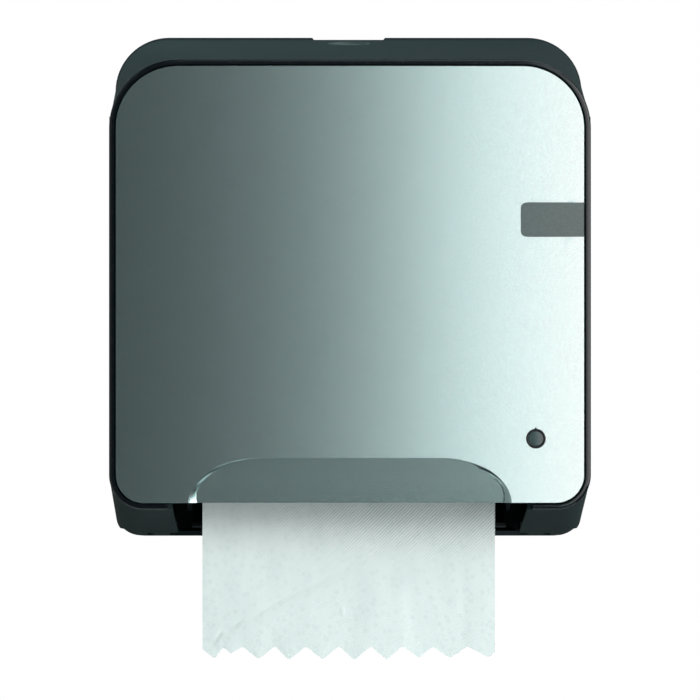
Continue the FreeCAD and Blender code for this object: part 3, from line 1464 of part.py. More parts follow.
def main():
    os.makedirs("parts", exist_ok=True)
    for name, shape in build().items():
        shape.exportStep(f"parts/{name}.step")
        box = shape.BoundBox
        print(f"{name}: {len(shape.Solids)} solids, valid {shape.isValid()}, volume {shape.Volume / 1000:.2f} cm3, "
              f"x {box.XMin:.1f}..{box.XMax:.1f} y {box.YMin:.1f}..{box.YMax:.1f} z {box.ZMin:.1f}..{box.ZMax:.1f}")


main()
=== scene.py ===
# %% [markdown]
# # Dressing a wall-mounted autocut towel dispenser
# The construction of this dispenser is already drawn as solids: a back plate on the wall, a hinged
# cover with a silver front, a roll of towel on two arms, and a drum whose hidden knife cuts each
# sheet. This lesson gives it its looks in Blender. Each step first says what the real piece is, how
# it could be made, and why one way was chosen. Then a short cell makes it and prints what it made.

# %% Open the solids
import json
import math
import random

import bpy
import numpy as np
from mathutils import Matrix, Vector


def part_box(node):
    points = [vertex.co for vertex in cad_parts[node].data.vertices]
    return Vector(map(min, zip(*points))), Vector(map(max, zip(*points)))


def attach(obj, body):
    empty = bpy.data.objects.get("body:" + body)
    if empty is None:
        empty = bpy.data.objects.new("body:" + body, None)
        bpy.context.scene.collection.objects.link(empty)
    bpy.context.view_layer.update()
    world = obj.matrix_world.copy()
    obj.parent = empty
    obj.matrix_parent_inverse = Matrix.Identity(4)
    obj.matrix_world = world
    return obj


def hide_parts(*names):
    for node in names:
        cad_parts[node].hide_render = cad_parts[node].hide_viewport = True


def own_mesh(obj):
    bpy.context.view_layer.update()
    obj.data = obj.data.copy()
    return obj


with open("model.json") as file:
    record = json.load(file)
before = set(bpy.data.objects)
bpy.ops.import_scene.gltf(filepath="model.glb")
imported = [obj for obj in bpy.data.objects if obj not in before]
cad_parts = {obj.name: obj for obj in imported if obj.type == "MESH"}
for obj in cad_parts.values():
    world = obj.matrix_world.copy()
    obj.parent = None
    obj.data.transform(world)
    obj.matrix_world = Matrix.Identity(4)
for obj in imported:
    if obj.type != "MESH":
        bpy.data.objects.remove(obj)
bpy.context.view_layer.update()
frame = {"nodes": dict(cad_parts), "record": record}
nodes = frame["nodes"]
MM = 0.001

# %% [markdown]
# ## The camera
# The photograph was taken level, from far away, with the front of the dispenser square to the lens.
# A long lens at four metres gives the same flat perspective. 0.7 mm of the front falls on one pixel.

# %% Camera
FRONT_Y = -205 * MM
AIM_Z = -46.5 * MM
DISTANCE = 4.0
AZIMUTH = math.radians(-0.3)
SENSOR = 36
SEEN_WIDTH = 700 * 0.7 * MM
target = Vector((0, FRONT_Y, AIM_Z))
eye = target + Vector((math.sin(AZIMUTH), -math.cos(AZIMUTH), 0)) * DISTANCE
bpy.ops.object.camera_add(location=eye, rotation=(math.pi / 2, 0, AZIMUTH))
camera = bpy.context.object
camera.data.sensor_width = SENSOR
camera.data.lens = SENSOR * DISTANCE / SEEN_WIDTH
bpy.context.scene.camera = camera
print("camera at", tuple(round(v, 3) for v in eye), "lens", round(camera.data.lens, 1))

# %% [markdown]
# ## The studio
# The room is plain: a pale floor well below the dispenser and a white surround. The silver front
# mirrors what stands in front of it, so its change from dark on the left to bright on the right comes
# from where the lamps stand, and none of it is painted. A narrow cool lamp begins just right of the
# camera, a wide one stands beside it, a third lights the right-hand side, a fourth shines in the bead
# along the top, and a low fifth one is what the hand scoop mirrors. The two fills light only the paper
# and the casing's top, and no metal shows them.

# %% Floor and lamps
bpy.ops.object.select_all(action="DESELECT")
bpy.ops.mesh.primitive_plane_add(size=2.2, location=(0, 0.05, -1.4))
studio_floor = bpy.context.object
studio_floor.name = "studio_floor"
studio_floor.scale = (1, 0.59, 1)
bpy.ops.object.transform_apply(location=False, rotation=False, scale=True)


def soft_lamp(name, azimuth, elevation, distance, width, height, radiance, tint, mirrored=True):
    """An area lamp that faces the dispenser. Its power follows from how bright its face is."""
    turn = math.radians(azimuth)
    lift = math.radians(elevation)
    level = math.cos(lift)
    aim = Vector((math.sin(turn) * level, -math.cos(turn) * level, math.sin(lift)))
    bpy.ops.object.light_add(type="AREA", location=aim * distance)
    lamp = bpy.context.object
    lamp.name = name
    lamp.rotation_euler = aim.to_track_quat("Z", "Y").to_euler()
    lamp.data.shape = "RECTANGLE"
    lamp.data.size = width
    lamp.data.size_y = height
    lamp.data.energy = radiance * math.pi * width * height
    lamp.data.color = tint
    lamp.visible_camera = False
    lamp.visible_glossy = mirrored
    return lamp


lamps = [
    soft_lamp("edge_lamp", 7.5, 5.5, 5.2, 0.52, 4.0, 1.8, (0.77, 1.0, 1.0)),
    soft_lamp("front_lamp", 25.4, -1.0, 5.2, 2.9, 4.5, 1.95, (1.0, 0.68, 0.655)),
    soft_lamp("side_lamp", 66, 10, 5.2, 5.0, 5.5, 2.9, (0.93, 1.0, 1.0)),
    soft_lamp("top_lamp", 68, 66, 3.0, 3.4, 2.4, 1.1, (0.9, 1.0, 1.0)),
    soft_lamp("top_left_fill", -95, 58, 0.9, 0.5, 0.5, 6.5, (0.92, 1.0, 1.0), mirrored=False),
    soft_lamp("front_fill", 10, 24, 5.2, 2.4, 2.4, 4.8, (0.92, 1.0, 1.0), mirrored=False),
    soft_lamp("low_lamp", 31, -21, 5.2, 4.2, 1.6, 0.74, (0.45, 1.0, 1.0)),
]
print("lamps:", [(lamp.name, round(lamp.data.energy, 1)) for lamp in lamps])

# %% [markdown]
# ## Finishes
# Every finish is made of shader nodes, and much of it is arithmetic: noise times a factor plus a
# colour. Written node by node that is long, so one small class wraps a socket and lets Python's
# signs add the nodes. Every other kind of node comes from its one method `add`.


# %% A socket that can be calculated with
class Field:
    """A socket of a shader tree. Its sums and products are Math nodes."""

    def __init__(self, tree, socket):
        self.tree = tree
        self.socket = socket

    def add(self, kind, sockets=None, output=0, **settings):
        """Adds a node, sets its settings, then its sockets' values or links."""
        node = self.tree.nodes.new(kind)
        for name, value in settings.items():
            setattr(node, name, value)
        for name, value in (sockets or {}).items():
            if isinstance(value, Field):
                self.tree.links.new(value.socket, node.inputs[name])
            else:
                node.inputs[name].default_value = value
        return Field(self.tree, node.outputs[output])

    def maths(self, operation, *values):
        return self.add("ShaderNodeMath", dict(enumerate(values)), operation=operation)

    def __add__(self, other):
        return self.maths("ADD", self, other)

    def __radd__(self, other):
        return self.maths("ADD", other, self)

    def __sub__(self, other):
        return self.maths("SUBTRACT", self, other)

    def __mul__(self, other):
        return self.maths("MULTIPLY", self, other)


print("Field knows", [name for name in vars(Field) if callable(vars(Field)[name])])

# %% A new finish, and the patterns that several finishes share
finishes = {}


def new_finish(name):
    """Keeps a material under its name. Gives its shader, and the place on the piece in metres."""
    material = bpy.data.materials.new(name)
    material.use_nodes = True
    finishes[name] = material
    place = Field(material.node_tree, None).add("ShaderNodeTexCoord", output="Object")
    return material.node_tree.nodes["Principled BSDF"], place


def mapped(place, **sockets):
    """The place moved, turned or stretched before a pattern reads it."""
    return place.add("ShaderNodeMapping", {"Vector": place, **sockets})


def axis(place, letter):
    """One coordinate of a place."""
    return place.add("ShaderNodeSeparateXYZ", {"Vector": place}, output=letter)


def noise(place, scale, detail=2.0, stretch=None):
    """Soft noise from 0 to 1, its spots about 1/scale metres wide."""
    if stretch:
        place = mapped(place, Scale=stretch)
    sockets = {"Vector": place, "Scale": scale, "Detail": detail}
    return place.add("ShaderNodeTexNoise", sockets)


def worn(height, low, high):
    """Cuts a height down to the part between two levels and spreads it over 0 to 1."""
    sockets = {"Value": height, "From Min": low, "From Max": high}
    return height.add("ShaderNodeMapRange", sockets)


def between(factor, colour_a, colour_b):
    """A colour that goes from one to the other as the factor goes from 0 to 1."""
    sockets = {0: factor}
    for number, colour in ((6, colour_a), (7, colour_b)):
        sockets[number] = colour if isinstance(colour, Field) else (*colour, 1)
    return factor.add("ShaderNodeMix", sockets, output=2, data_type="RGBA")


def bump(height, distance):
    """Turns a height from 0 to 1 into a dented normal, with the depth in metres."""
    return height.add("ShaderNodeBump", {"Height": height, "Distance": distance})


def put(shader, **inputs):
    """Sets or links the sockets of a shader by their names, with _ for a space."""
    for name, value in inputs.items():
        socket = shader.inputs[name.replace("_", " ")]
        if isinstance(value, Field):
            value.tree.links.new(value.socket, socket)
        else:
            socket.default_value = value


print("helpers for finishes are ready")

# %% [markdown]
# ### Moulded plastics
# The casing, frames and drum are moulded in tools whose walls were etched, so the plastic has a fine
# satin texture and reflects only softly. Colour alone would look like paper. Two sizes of noise, one
# for the etching and one for the slight clouding of a big moulding, make it plastic, and a few long
# scuffs are rubbed smooth. The same recipe serves eight finishes with other numbers.


# %% Moulded plastics
def moulded(name, colour, lighter, roughness, grain, depth, specular=0.35):
    shader, place = new_finish(name)
    cloud = noise(place, 14, 3)
    etching = noise(place, grain)
    scuffs = worn(noise(place, 60, 4, (1, 1, 6)), 0.62, 0.8)
    tone = worn(cloud * 0.7 + etching * 0.3, 0.3, 0.7)
    put(shader, Base_Color=between(tone, colour, lighter), Specular_IOR_Level=specular)
    put(shader, Roughness=roughness + (etching - 0.5) * 0.18 - scuffs * 0.07)
    put(shader, Normal=bump(etching, depth))


moulded("casing_grey", (0.0172, 0.0293, 0.031), (0.0206, 0.0334, 0.0356), 0.66, 2600, 0.00005, 0.12)
moulded("frame_grey", (0.020, 0.024, 0.027), (0.030, 0.035, 0.038), 0.6, 2000, 0.00005)
moulded("bearing_white", (0.62, 0.62, 0.56), (0.70, 0.70, 0.64), 0.42, 1500, 0.00003)
moulded("drum_grey", (0.032, 0.036, 0.039), (0.045, 0.050, 0.053), 0.5, 1800, 0.00004)
moulded("wheel_blue", (0.012, 0.050, 0.135), (0.020, 0.068, 0.170), 0.42, 1500, 0.00004)
moulded("lock_grey", (0.050, 0.075, 0.078), (0.066, 0.094, 0.098), 0.48, 2400, 0.00004)
moulded("bezel_black", (0.006, 0.007, 0.008), (0.010, 0.012, 0.013), 0.3, 1600, 0.00002, 0.5)
moulded("grip_rubber", (0.012, 0.012, 0.012), (0.022, 0.022, 0.021), 0.78, 1200, 0.00008, 0.25)
print("moulded plastics:", sorted(finishes))

# %% [markdown]
# ### Glossy bead and level window
# The bead round the front is polished, so it shows the lamps as sharp lines. Polished plastic is
# never quite flat: a slow, shallow bump bends the reflections a little, and dust dulls it in places.


# %% Glossy plastics
def polished(name, colour, roughness):
    shader, place = new_finish(name)
    dust = worn(noise(place, 700, 4), 0.55, 0.75)
    dusty = tuple(v + 0.012 for v in colour)
    put(shader, Base_Color=between(dust, colour, dusty), Roughness=roughness + dust * 0.16)
    put(shader, Normal=bump(noise(place, 90, 1), 0.00004))


polished("bead_black", (0.004, 0.006, 0.008), 0.12)
polished("lens_grey", (0.050, 0.078, 0.080), 0.2)
print("glossy plastics: bead_black, lens_grey")

# %% [markdown]
# ### Silver front and badge plate
# The front is painted with a metallic lacquer: fine flakes lie in it at slightly different angles, so
# single grains flash and others stay dark. Cells of 0.7 mm, each with its own brightness and tilt,
# give that grain. The lacquer is satin, so the room shows in it only as a soft change from dark to
# light.

# %% Metallic lacquer
FLAKE = 0.7 * MM


def lacquer(name, dark, light, roughness, tilt):
    shader, place = new_finish(name)
    sockets = {"Vector": place, "Scale": 1 / FLAKE}
    cells = place.add("ShaderNodeTexVoronoi", sockets, output="Color")
    flake = cells.add("ShaderNodeSeparateColor", {"Color": cells})
    grain = noise(place, 900, 3)
    tone = flake * 0.65 + grain * 0.35
    put(shader, Base_Color=between(tone, dark, light), Metallic=0.98)
    put(shader, Roughness=roughness + (grain - 0.5) * 0.06)
    put(shader, Normal=bump(flake * 0.5 + grain * 0.5, tilt))


lacquer("panel_silver", (0.55, 0.71, 0.71), (0.65, 0.80, 0.795), 0.25, 0.000012)
lacquer("badge_grey", (0.095, 0.135, 0.135), (0.13, 0.175, 0.175), 0.3, 0.000015)
print("lacquers: panel_silver, badge_grey")

# %% [markdown]
# ### Metals
# Pins and shafts are ground bars, whose grinding runs round them, so the noise is drawn out across
# the bar and squeezed along it. The knife is a ground strip with its scratches along the edge.


# %% Ground steel
def ground_steel(name, colour, stretch, roughness):
    shader, place = new_finish(name)
    scratches = noise(place, 900, 3, stretch)
    spots = worn(noise(place, 120, 4), 0.6, 0.8)
    darker = tuple(v * 0.8 for v in colour)
    put(shader, Base_Color=between(scratches, darker, colour), Metallic=1.0)
    put(shader, Roughness=roughness + scratches * 0.2 + spots * 0.12)
    put(shader, Normal=bump(scratches, 0.00002))


ground_steel("steel", (0.60, 0.61, 0.62), (4, 0.2, 0.2), 0.22)
ground_steel("spring_steel", (0.46, 0.47, 0.48), (1, 1, 1), 0.26)
ground_steel("blade_steel", (0.68, 0.69, 0.70), (0.05, 2, 2), 0.2)
print("metals: steel, spring_steel, blade_steel")

# %% [markdown]
# ### Towel
# The towel is white crêped paper with fine ribs pressed in at 45 degrees, rising to the right, about
# 1.8 mm apart, and small dimples between them. The ribs must follow the towel round the drum, so the
# pattern reads the towel's own flat measure, kept in its UV map in metres, and not its place in space.
# Only their depth reads the place: the ribs, and the shade they paint into the colour, are strongest
# just under the exit and on the right, where the light rakes across them. The wave node repeats every
# 0.314 m divided by its scale.

# %% Embossed paper
RIB_SCALE = 180
shader, place = new_finish("towel_paper")
flat = place.add("ShaderNodeTexCoord", output="UV")
turned = mapped(flat, Rotation=(0, 0, math.radians(45)))
sockets = {"Vector": turned, "Scale": RIB_SCALE, "Distortion": 0.8, "Detail": 2.0, "Detail Scale": 1.4}
ribs = turned.add("ShaderNodeTexWave", sockets, output=1, wave_profile="SIN")
dimples = flat.add("ShaderNodeTexVoronoi", {"Vector": flat, "Scale": 190})
# Painted raking light: this mask deepens the ribs and their painted shade towards the right and just
# under the exit, where the light rakes across the paper.
to_the_right = worn(axis(place, "X"), -80 * MM, 20 * MM) * 0.62 + 0.18
raking_light_ribs = worn(axis(place, "Z"), -200 * MM, -168 * MM) * to_the_right + 0.13
height = (ribs - 0.5) * raking_light_ribs + 0.25 + noise(flat, 1400, 3) * 0.3 + worn(dimples, 0, 0.5) * 0.2
# The colour follows the height of the ribs and dimples, which paints shade into their troughs, mixed
# with random fibre and cloud tone.
tone = worn(height * 0.6 + noise(flat, 55, 3, (1, 0.35, 1)) * 0.4, 0.3, 0.72)
put(shader, Base_Color=between(tone, (0.655, 0.745, 0.73), (0.84, 0.905, 0.895)))
put(shader, Roughness=0.9, Specular_IOR_Level=0.15, Normal=bump(height, 0.00042))
print("paper: towel_paper")

# %% [markdown]
# ### Wound paper and core board
# The side of a roll shows the edges of some hundred turns of paper as fine rings round the axis. The
# core is a tube wound of brown board, with a spiral joint every few centimetres.

# %% Wound paper and board
ROLL = (105 * MM, 62 * MM)
ROLL_AXIS = Vector((0, -ROLL[0], ROLL[1]))
shader, place = new_finish("wound_paper")
centred = mapped(mapped(place, Location=tuple(-ROLL_AXIS)), Scale=(0.02, 1, 1))
sockets = {"Vector": centred, "Scale": 45, "Distortion": 2.2, "Detail": 3.0, "Detail Scale": 1.2}
rings = centred.add("ShaderNodeTexWave", sockets, output=1, wave_type="RINGS", rings_direction="X")
height = rings * 0.7 + noise(place, 900, 3) * 0.3
put(shader, Base_Color=between(height, (0.58, 0.62, 0.60), (0.84, 0.87, 0.85)), Roughness=0.92)
put(shader, Specular_IOR_Level=0.12, Normal=bump(height, 0.0004))

shader, place = new_finish("core_board")
slanted = mapped(place, Rotation=(0, 0, 0.5))
sockets = {"Vector": slanted, "Scale": 9, "Distortion": 0.3}
joint = slanted.add("ShaderNodeTexWave", sockets, output=1)
pulp = noise(place, 700, 4, (0.3, 1, 1))
tone = pulp * 0.8 - worn(joint, 0.97, 1.0) * 0.4
put(shader, Base_Color=between(tone, (0.20, 0.125, 0.068), (0.36, 0.25, 0.15)), Roughness=0.88)
put(shader, Specular_IOR_Level=0.15, Normal=bump(pulp, 0.0001))
print("wound_paper, core_board")

# %% [markdown]
# ### Finishes on the solids
# Solids whose form is right stay as they are and only take their finish, by the slot that the record
# gives them.

# %% Dress the solids
slots = {part["node"]: part["material_slot"] for part in frame["record"]["subparts"]}
for name, node in nodes.items():
    if not node.material_slots:
        node.data.materials.append(finishes[slots[name]])
    for slot in node.material_slots:
        slot.material = finishes[slots[name]]
print("dressed", len(nodes), "solids with", len(set(slots.values())), "finishes")

# %% [markdown]
# ### Room and floor
# The surround is white to the lens, and also where metal and glass show what lies behind the
# dispenser. The light that it sheds is dimmer, so the lamps decide the shading. In front of the
# dispenser the mirrored room is dark, as in the photograph, and turns grey far to the left.

# %% White surround
world = bpy.data.worlds.new("white_surround")
bpy.context.scene.world = world
world.use_nodes = True
background = world.node_tree.nodes["Background"]
start = Field(world.node_tree, None)
direction = start.add("ShaderNodeTexCoord", output="Generated")
behind = worn(axis(direction, "Y"), 0.93, 1.0)
far_left = worn(axis(direction, "X"), -0.45, -0.65)
camera_ray = start.add("ShaderNodeLightPath", output="Is Camera Ray")
glossy_ray = start.add("ShaderNodeLightPath", output="Is Glossy Ray")
through_ray = start.add("ShaderNodeLightPath", output="Is Transmission Ray")
white = start.maths("MINIMUM", camera_ray + through_ray + glossy_ray * behind, 1.0)
mirrored_room = between(far_left, (0.010, 0.02, 0.021), (0.24, 0.27, 0.27))
room = between(glossy_ray, (0.175, 0.23, 0.23), mirrored_room)
put(background, Color=between(white, room, (1, 1, 1)), Strength=1.0)

shader, place = new_finish("studio_floor")
mottle = noise(place, 3)
put(shader, Base_Color=between(mottle, (0.74, 0.82, 0.82), (0.78, 0.85, 0.85)), Roughness=0.8)
studio_floor.data.materials.append(finishes["studio_floor"])
view = bpy.context.scene.view_settings
view.view_transform = "Standard"
print("surround and floor, view transform", view.view_transform)

# %% [markdown]
# ## Modelling by hand, in code
# Modelling with operators is what a hand does with the mouse: add a form, pick some faces or edges,
# and work on what is picked. A script has no mouse, so `pick` selects by place. `begin` leaves
# nothing selected, `shaped` stretches a new form, and `settle` brings a finished piece's origin to
# the middle of the room, so a pattern stays where it is.

# %% Helpers for picking
NEAR = 0.1 * MM
FACING_ROOM = (math.pi / 2, 0, 0)
ALONG_X = (0, math.pi / 2, 0)


def begin():
    """Leaves edit mode, with nothing selected."""
    if bpy.context.object and bpy.context.object.mode != "OBJECT":
        bpy.ops.object.mode_set(mode="OBJECT")
    bpy.ops.object.select_all(action="DESELECT")


def pick(piece, kind, test):
    """Selects the vertices, edges or faces that pass a test, and stays in edit mode."""
    bpy.ops.object.mode_set(mode="OBJECT")
    mesh = piece.data
    flags = tuple(kind == name for name in ("VERT", "EDGE", "FACE"))
    bpy.context.tool_settings.mesh_select_mode = flags
    for elements in (mesh.vertices, mesh.edges, mesh.polygons):
        elements.foreach_set("select", [False] * len(elements))
    if kind == "VERT":
        for vertex in mesh.vertices:
            vertex.select = test(vertex.co)
    elif kind == "EDGE":
        for edge in mesh.edges:
            a, b = (mesh.vertices[i].co for i in edge.vertices)
            edge.select = test(a, b)
    else:
        for face in mesh.polygons:
            face.select = test(face.center, face.normal)
    bpy.ops.object.mode_set(mode="EDIT")


def everything(*places):
    """The test that every vertex, edge and face passes."""
    return True


def push(y=0, z=0):
    """Extrudes what is picked, by a distance."""
    bpy.ops.mesh.extrude_region_move(TRANSFORM_OT_translate={"value": (0, y, z)})


def face_outward():
    """Turns all faces of the piece in edit mode outward."""
    bpy.ops.mesh.select_all(action="SELECT")
    bpy.ops.mesh.normals_make_consistent(inside=False)


print("helpers for picking are ready")


# %% Helpers for whole pieces
def shaped(name, scale=(1, 1, 1)):
    """Names and stretches the form just added, and puts its place into its mesh."""
    piece = bpy.context.object
    piece.name = name
    piece.scale = scale
    bpy.ops.object.transform_apply(location=True, rotation=True, scale=True)
    return piece


def use(piece, kind, **settings):
    """Adds a modifier, sets it and applies it."""
    bpy.ops.object.mode_set(mode="OBJECT")
    bpy.context.view_layer.objects.active = piece
    modifier = piece.modifiers.new(kind.lower(), kind)
    for name, value in settings.items():
        setattr(modifier, name, value)
    bpy.ops.object.modifier_apply(modifier=modifier.name)


def cut(piece, tool, operation="DIFFERENCE"):
    """Cuts a piece with a tool, or keeps what they share, and removes the tool."""
    begin()
    piece.select_set(True)
    use(piece, "BOOLEAN", object=tool, operation=operation, solver="EXACT")
    bpy.data.objects.remove(tool)


def join(piece, *others):
    """Joins other objects to a piece."""
    begin()
    for joined in (piece, *others):
        joined.select_set(True)
    bpy.context.view_layer.objects.active = piece
    bpy.ops.object.join()


def settle(piece, body, slot, *stands_for, angle=30, weighted=False):
    """Ends the work on a piece: origin, smooth shading, finish, body."""
    begin()
    piece.select_set(True)
    bpy.context.view_layer.objects.active = piece
    bpy.ops.object.transform_apply(location=True, rotation=True, scale=True)
    bpy.ops.object.shade_smooth_by_angle(angle=math.radians(angle))
    if weighted:
        use(piece, "WEIGHTED_NORMAL", keep_sharp=True, mode="FACE_AREA")
    if not piece.data.materials:
        piece.data.materials.append(finishes[slot])
    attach(piece, body)
    if stands_for:
        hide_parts(*stands_for)
    corners = np.array([v.co for v in piece.data.vertices]) * 1000
    low, high = corners.min(0).round(1), corners.max(0).round(1)
    print(piece.name, len(piece.data.polygons), "faces, from", low, "to", high, "mm")


print("helpers for pieces are ready")

# %% [markdown]
# ## Bead round the front
# A glossy bead frames the silver front and stops at both sides of the towel's way out. Swept along a
# curve it would need a curve with two corner radii. A rounded plate is quicker: inset it by the
# bead's width, delete the middle, pull the ring forward, and round its two front edges, the outer one
# wide and the inner one narrow, as the lines of light on it show.

# %% Ring of the bead
BACK_Y = -199 * MM
HALF = 168.7 * MM
BEAD_LOW, BEAD_HIGH, BEAD_FRONT = -158.4 * MM, 157 * MM, -206.8 * MM
TOP_RADIUS, FOOT_RADIUS = 48 * MM, 24.5 * MM
BEAD_WIDTH = 3.7 * MM


def upright_plate(name, half_width, low, high, top_radius, foot_radius, segments=20):
    """A plate that faces the room, with rounded corners, as one face."""
    begin()
    middle = (low + high) / 2
    bpy.ops.mesh.primitive_plane_add(size=1, location=(0, BACK_Y, middle), rotation=FACING_ROOM)
    piece = shaped(name, (2 * half_width, high - low, 1))
    pick(piece, "VERT", lambda co: co.z > middle)
    bpy.ops.mesh.bevel(offset=top_radius, segments=segments, affect="VERTICES")
    pick(piece, "VERT", lambda co: co.z < low + NEAR and abs(co.x) > half_width - NEAR)
    bpy.ops.mesh.bevel(offset=foot_radius, segments=segments, affect="VERTICES")
    return piece


bead = upright_plate("glossy_bead", HALF, BEAD_LOW, BEAD_HIGH, TOP_RADIUS, FOOT_RADIUS)
pick(bead, "FACE", everything)
bpy.ops.mesh.inset(thickness=BEAD_WIDTH)
pick(bead, "FACE", lambda centre, normal: max(abs(centre.x), abs(centre.z)) < 50 * MM)
bpy.ops.mesh.delete(type="FACE")
bpy.ops.mesh.select_all(action="SELECT")
push(y=BEAD_FRONT - BACK_Y)
face_outward()
print("ring of the bead:", round(BEAD_WIDTH / MM, 1), "mm wide")

# %% Rounded edges and way out of the bead
RIM = 2.4 * MM
HAIR = 0.01 * MM
EXIT_HALF = 127.8 * MM
LOWER_PART = -100 * MM


def outside_of_bead(co):
    """True for a point on the bead's outer outline."""
    x = abs(co.x)
    upper = co.z > 0
    radius = TOP_RADIUS if upper else FOOT_RADIUS
    outline = BEAD_HIGH if upper else -BEAD_LOW
    beyond = abs(co.z) - (outline - radius)
    if x > HALF - radius and beyond > 0:
        return math.hypot(x - (HALF - radius), beyond) > radius - RIM
    return x > HALF - RIM or abs(co.z) > outline - RIM


def beside_exit(co):
    """True for a point on the two ends of the bead."""
    return abs(abs(co.x) - EXIT_HALF) < HAIR and co.z < LOWER_PART


def on_front_edge(a, b, outer):
    """True for a front edge of the bead's outer or inner outline."""
    in_front = max(a.y, b.y) < BEAD_FRONT + HAIR
    return in_front and outside_of_bead(a) == outside_of_bead(b) == outer


for outer, width, steps in ((True, 2.6 * MM, 7), (False, 0.8 * MM, 4)):
    pick(bead, "EDGE", lambda a, b: on_front_edge(a, b, outer))
    bpy.ops.mesh.bevel(offset=width, segments=steps, affect="EDGES", profile=0.5)
for side in (-1, 1):
    bpy.ops.mesh.select_all(action="SELECT")
    bpy.ops.mesh.bisect(plane_co=(side * EXIT_HALF, 0, 0), plane_no=(1, 0, 0))
pick(bead, "FACE", lambda centre, normal: abs(centre.x) < EXIT_HALF and centre.z < LOWER_PART)
bpy.ops.mesh.delete(type="FACE")
pick(bead, "EDGE", lambda a, b: beside_exit(a) and beside_exit(b))
bpy.ops.mesh.fill_holes(sides=0)
face_outward()
settle(bead, "cover", "bead_black", "front_bead", angle=40)

# %% [markdown]
# ## Silver front with its hand scoop
# The front is a thin pressed tray, crowned from side to side by 5 mm, with a scoop in its lower edge
# where fingers reach the towel. It could be a grid bent by a modifier, but its outline and scoop are
# then stepped. Cutting is cleaner: a thick rounded plate, common with a very large upright cylinder,
# less the scoop. Then the back is opened and the skin gets its thickness.

# %% Thick plate and crown
EDGE_Y = -207.6 * MM
CROWN = 5 * MM
FACE_Y = EDGE_Y - CROWN
crown_radius = (HALF * HALF + CROWN * CROWN) / (2 * CROWN)
crown_y = FACE_Y + crown_radius
panel = upright_plate("silver_front", 163.7 * MM, -153.4 * MM, 152 * MM, 43 * MM, 19.5 * MM, 28)
pick(panel, "FACE", everything)
push(y=-16 * MM)
face_outward()
begin()
bpy.ops.mesh.primitive_cylinder_add(
    vertices=2048, radius=crown_radius, depth=0.5, location=(0, crown_y, 0))
cut(panel, bpy.context.object, "INTERSECT")
RIM_ANGLE = math.radians(60)
use(panel, "BEVEL", width=0.5 * MM, segments=3, limit_method="ANGLE", angle_limit=RIM_ANGLE)
bpy.ops.object.mode_set(mode="EDIT")
bpy.ops.mesh.select_all(action="SELECT")
bpy.ops.mesh.remove_doubles(threshold=NEAR)
bpy.ops.object.mode_set(mode="OBJECT")
print("crown radius", round(crown_radius, 3), "m, plate:", len(panel.data.polygons), "faces")

# %% [markdown]
# ### The scoop
# Seen from the front its outline is nearly upright at the foot, slants at the shoulders and ends in a
# straight top edge. Its walls don't drop straight: light changes slowly across them, as in a wide
# hollow. So the outline is extruded backwards in small steps and drawn in a little more at each one,
# which gives a hollow wall. The floor leans back towards the foot, where the scoop is deepest.

# %% Scoop outline
FOOT_HALF, SIDE_HALF, SHOULDER_HALF, TOP_HALF = 114.6, 113.2, 104.8, 79.5
SIDE_Z, TOP_Z = -148 * MM, -123 * MM
begin()
bpy.ops.mesh.primitive_plane_add(
    size=1, location=(0, FACE_Y - 8 * MM, -156.5 * MM), rotation=FACING_ROOM)
scoop = shaped("scoop", (2 * FOOT_HALF * MM, 19 * MM, 1))
pick(scoop, "EDGE", lambda a, b: min(a.z, b.z) > SIDE_Z)
bpy.ops.transform.resize(value=(SIDE_HALF / FOOT_HALF, 1, 1))
for rise, share in ((14, SHOULDER_HALF / SIDE_HALF), (11.1, TOP_HALF / SHOULDER_HALF)):
    push(z=rise * MM)
    bpy.ops.transform.resize(value=(share, 1, 1))
pick(scoop, "EDGE", lambda a, b: abs(a.z - b.z) < NEAR and SIDE_Z < a.z < TOP_Z)
bpy.ops.mesh.dissolve_edges(use_verts=False)
for height, width in ((-147, 6), (-133, 10), (-121.9, 14)):
    pick(scoop, "VERT", lambda co: abs(co.z - height * MM) < NEAR)
    bpy.ops.mesh.bevel(offset=width * MM, segments=8, affect="VERTICES")
print("scoop outline:", len(scoop.data.vertices), "points")

# %% Scoop walls and floor
DEPTHS = (0.3, 0.6, 0.9, 1.2, 1.45, 1.7, 2.4, 3.2, 4.0, 4.8, 5.6, 6.3, 6.9, 7.4, 7.8)
TOP_DEPTH, FOOT_DEPTH, FLOOR_HEIGHT = 1.7, 8.0, 36
SCOOP_HEIGHT = 44.1
FOOT = (0, 0, -166 * MM)


def round_in(depth, radius):
    """How much of its radius a round wall has drawn in at a depth."""
    return 1 - math.sqrt(1 - (depth / radius) ** 2)


pick(scoop, "FACE", everything)
push(y=8.8 * MM)
reached, side_before, top_before = 0.0, 0.0, 0.0
for depth in DEPTHS:
    side = 20 * round_in(depth, 8)
    top = 6 * round_in(min(depth, TOP_DEPTH), 2) + max(0, depth - TOP_DEPTH)
    push(y=(depth - reached) * MM)
    narrower = (SIDE_HALF - side) / (SIDE_HALF - side_before)
    lower = (SCOOP_HEIGHT - top) / (SCOOP_HEIGHT - top_before)
    bpy.ops.transform.resize(value=(narrower, 1, lower), center_override=FOOT)
    reached, side_before, top_before = depth, side, top
face_outward()
floor_top = (0, FACE_Y + TOP_DEPTH * MM, -124.7 * MM)
floor_normal = Vector((0, FLOOR_HEIGHT, FOOT_DEPTH - TOP_DEPTH)).normalized()
bpy.ops.mesh.bisect(plane_co=floor_top, plane_no=floor_normal, clear_outer=True, use_fill=True)
cut(panel, scoop)
print("plate with scoop:", len(panel.data.polygons), "faces")

# %% Skin of the tray
pick(panel, "FACE", lambda centre, normal: abs(centre.y - BACK_Y) < NEAR and abs(normal.y) > 0.9)
bpy.ops.mesh.delete(type="FACE")
use(panel, "SOLIDIFY", thickness=2.4 * MM, offset=-1)
print("tray:", len(panel.data.polygons), "faces")

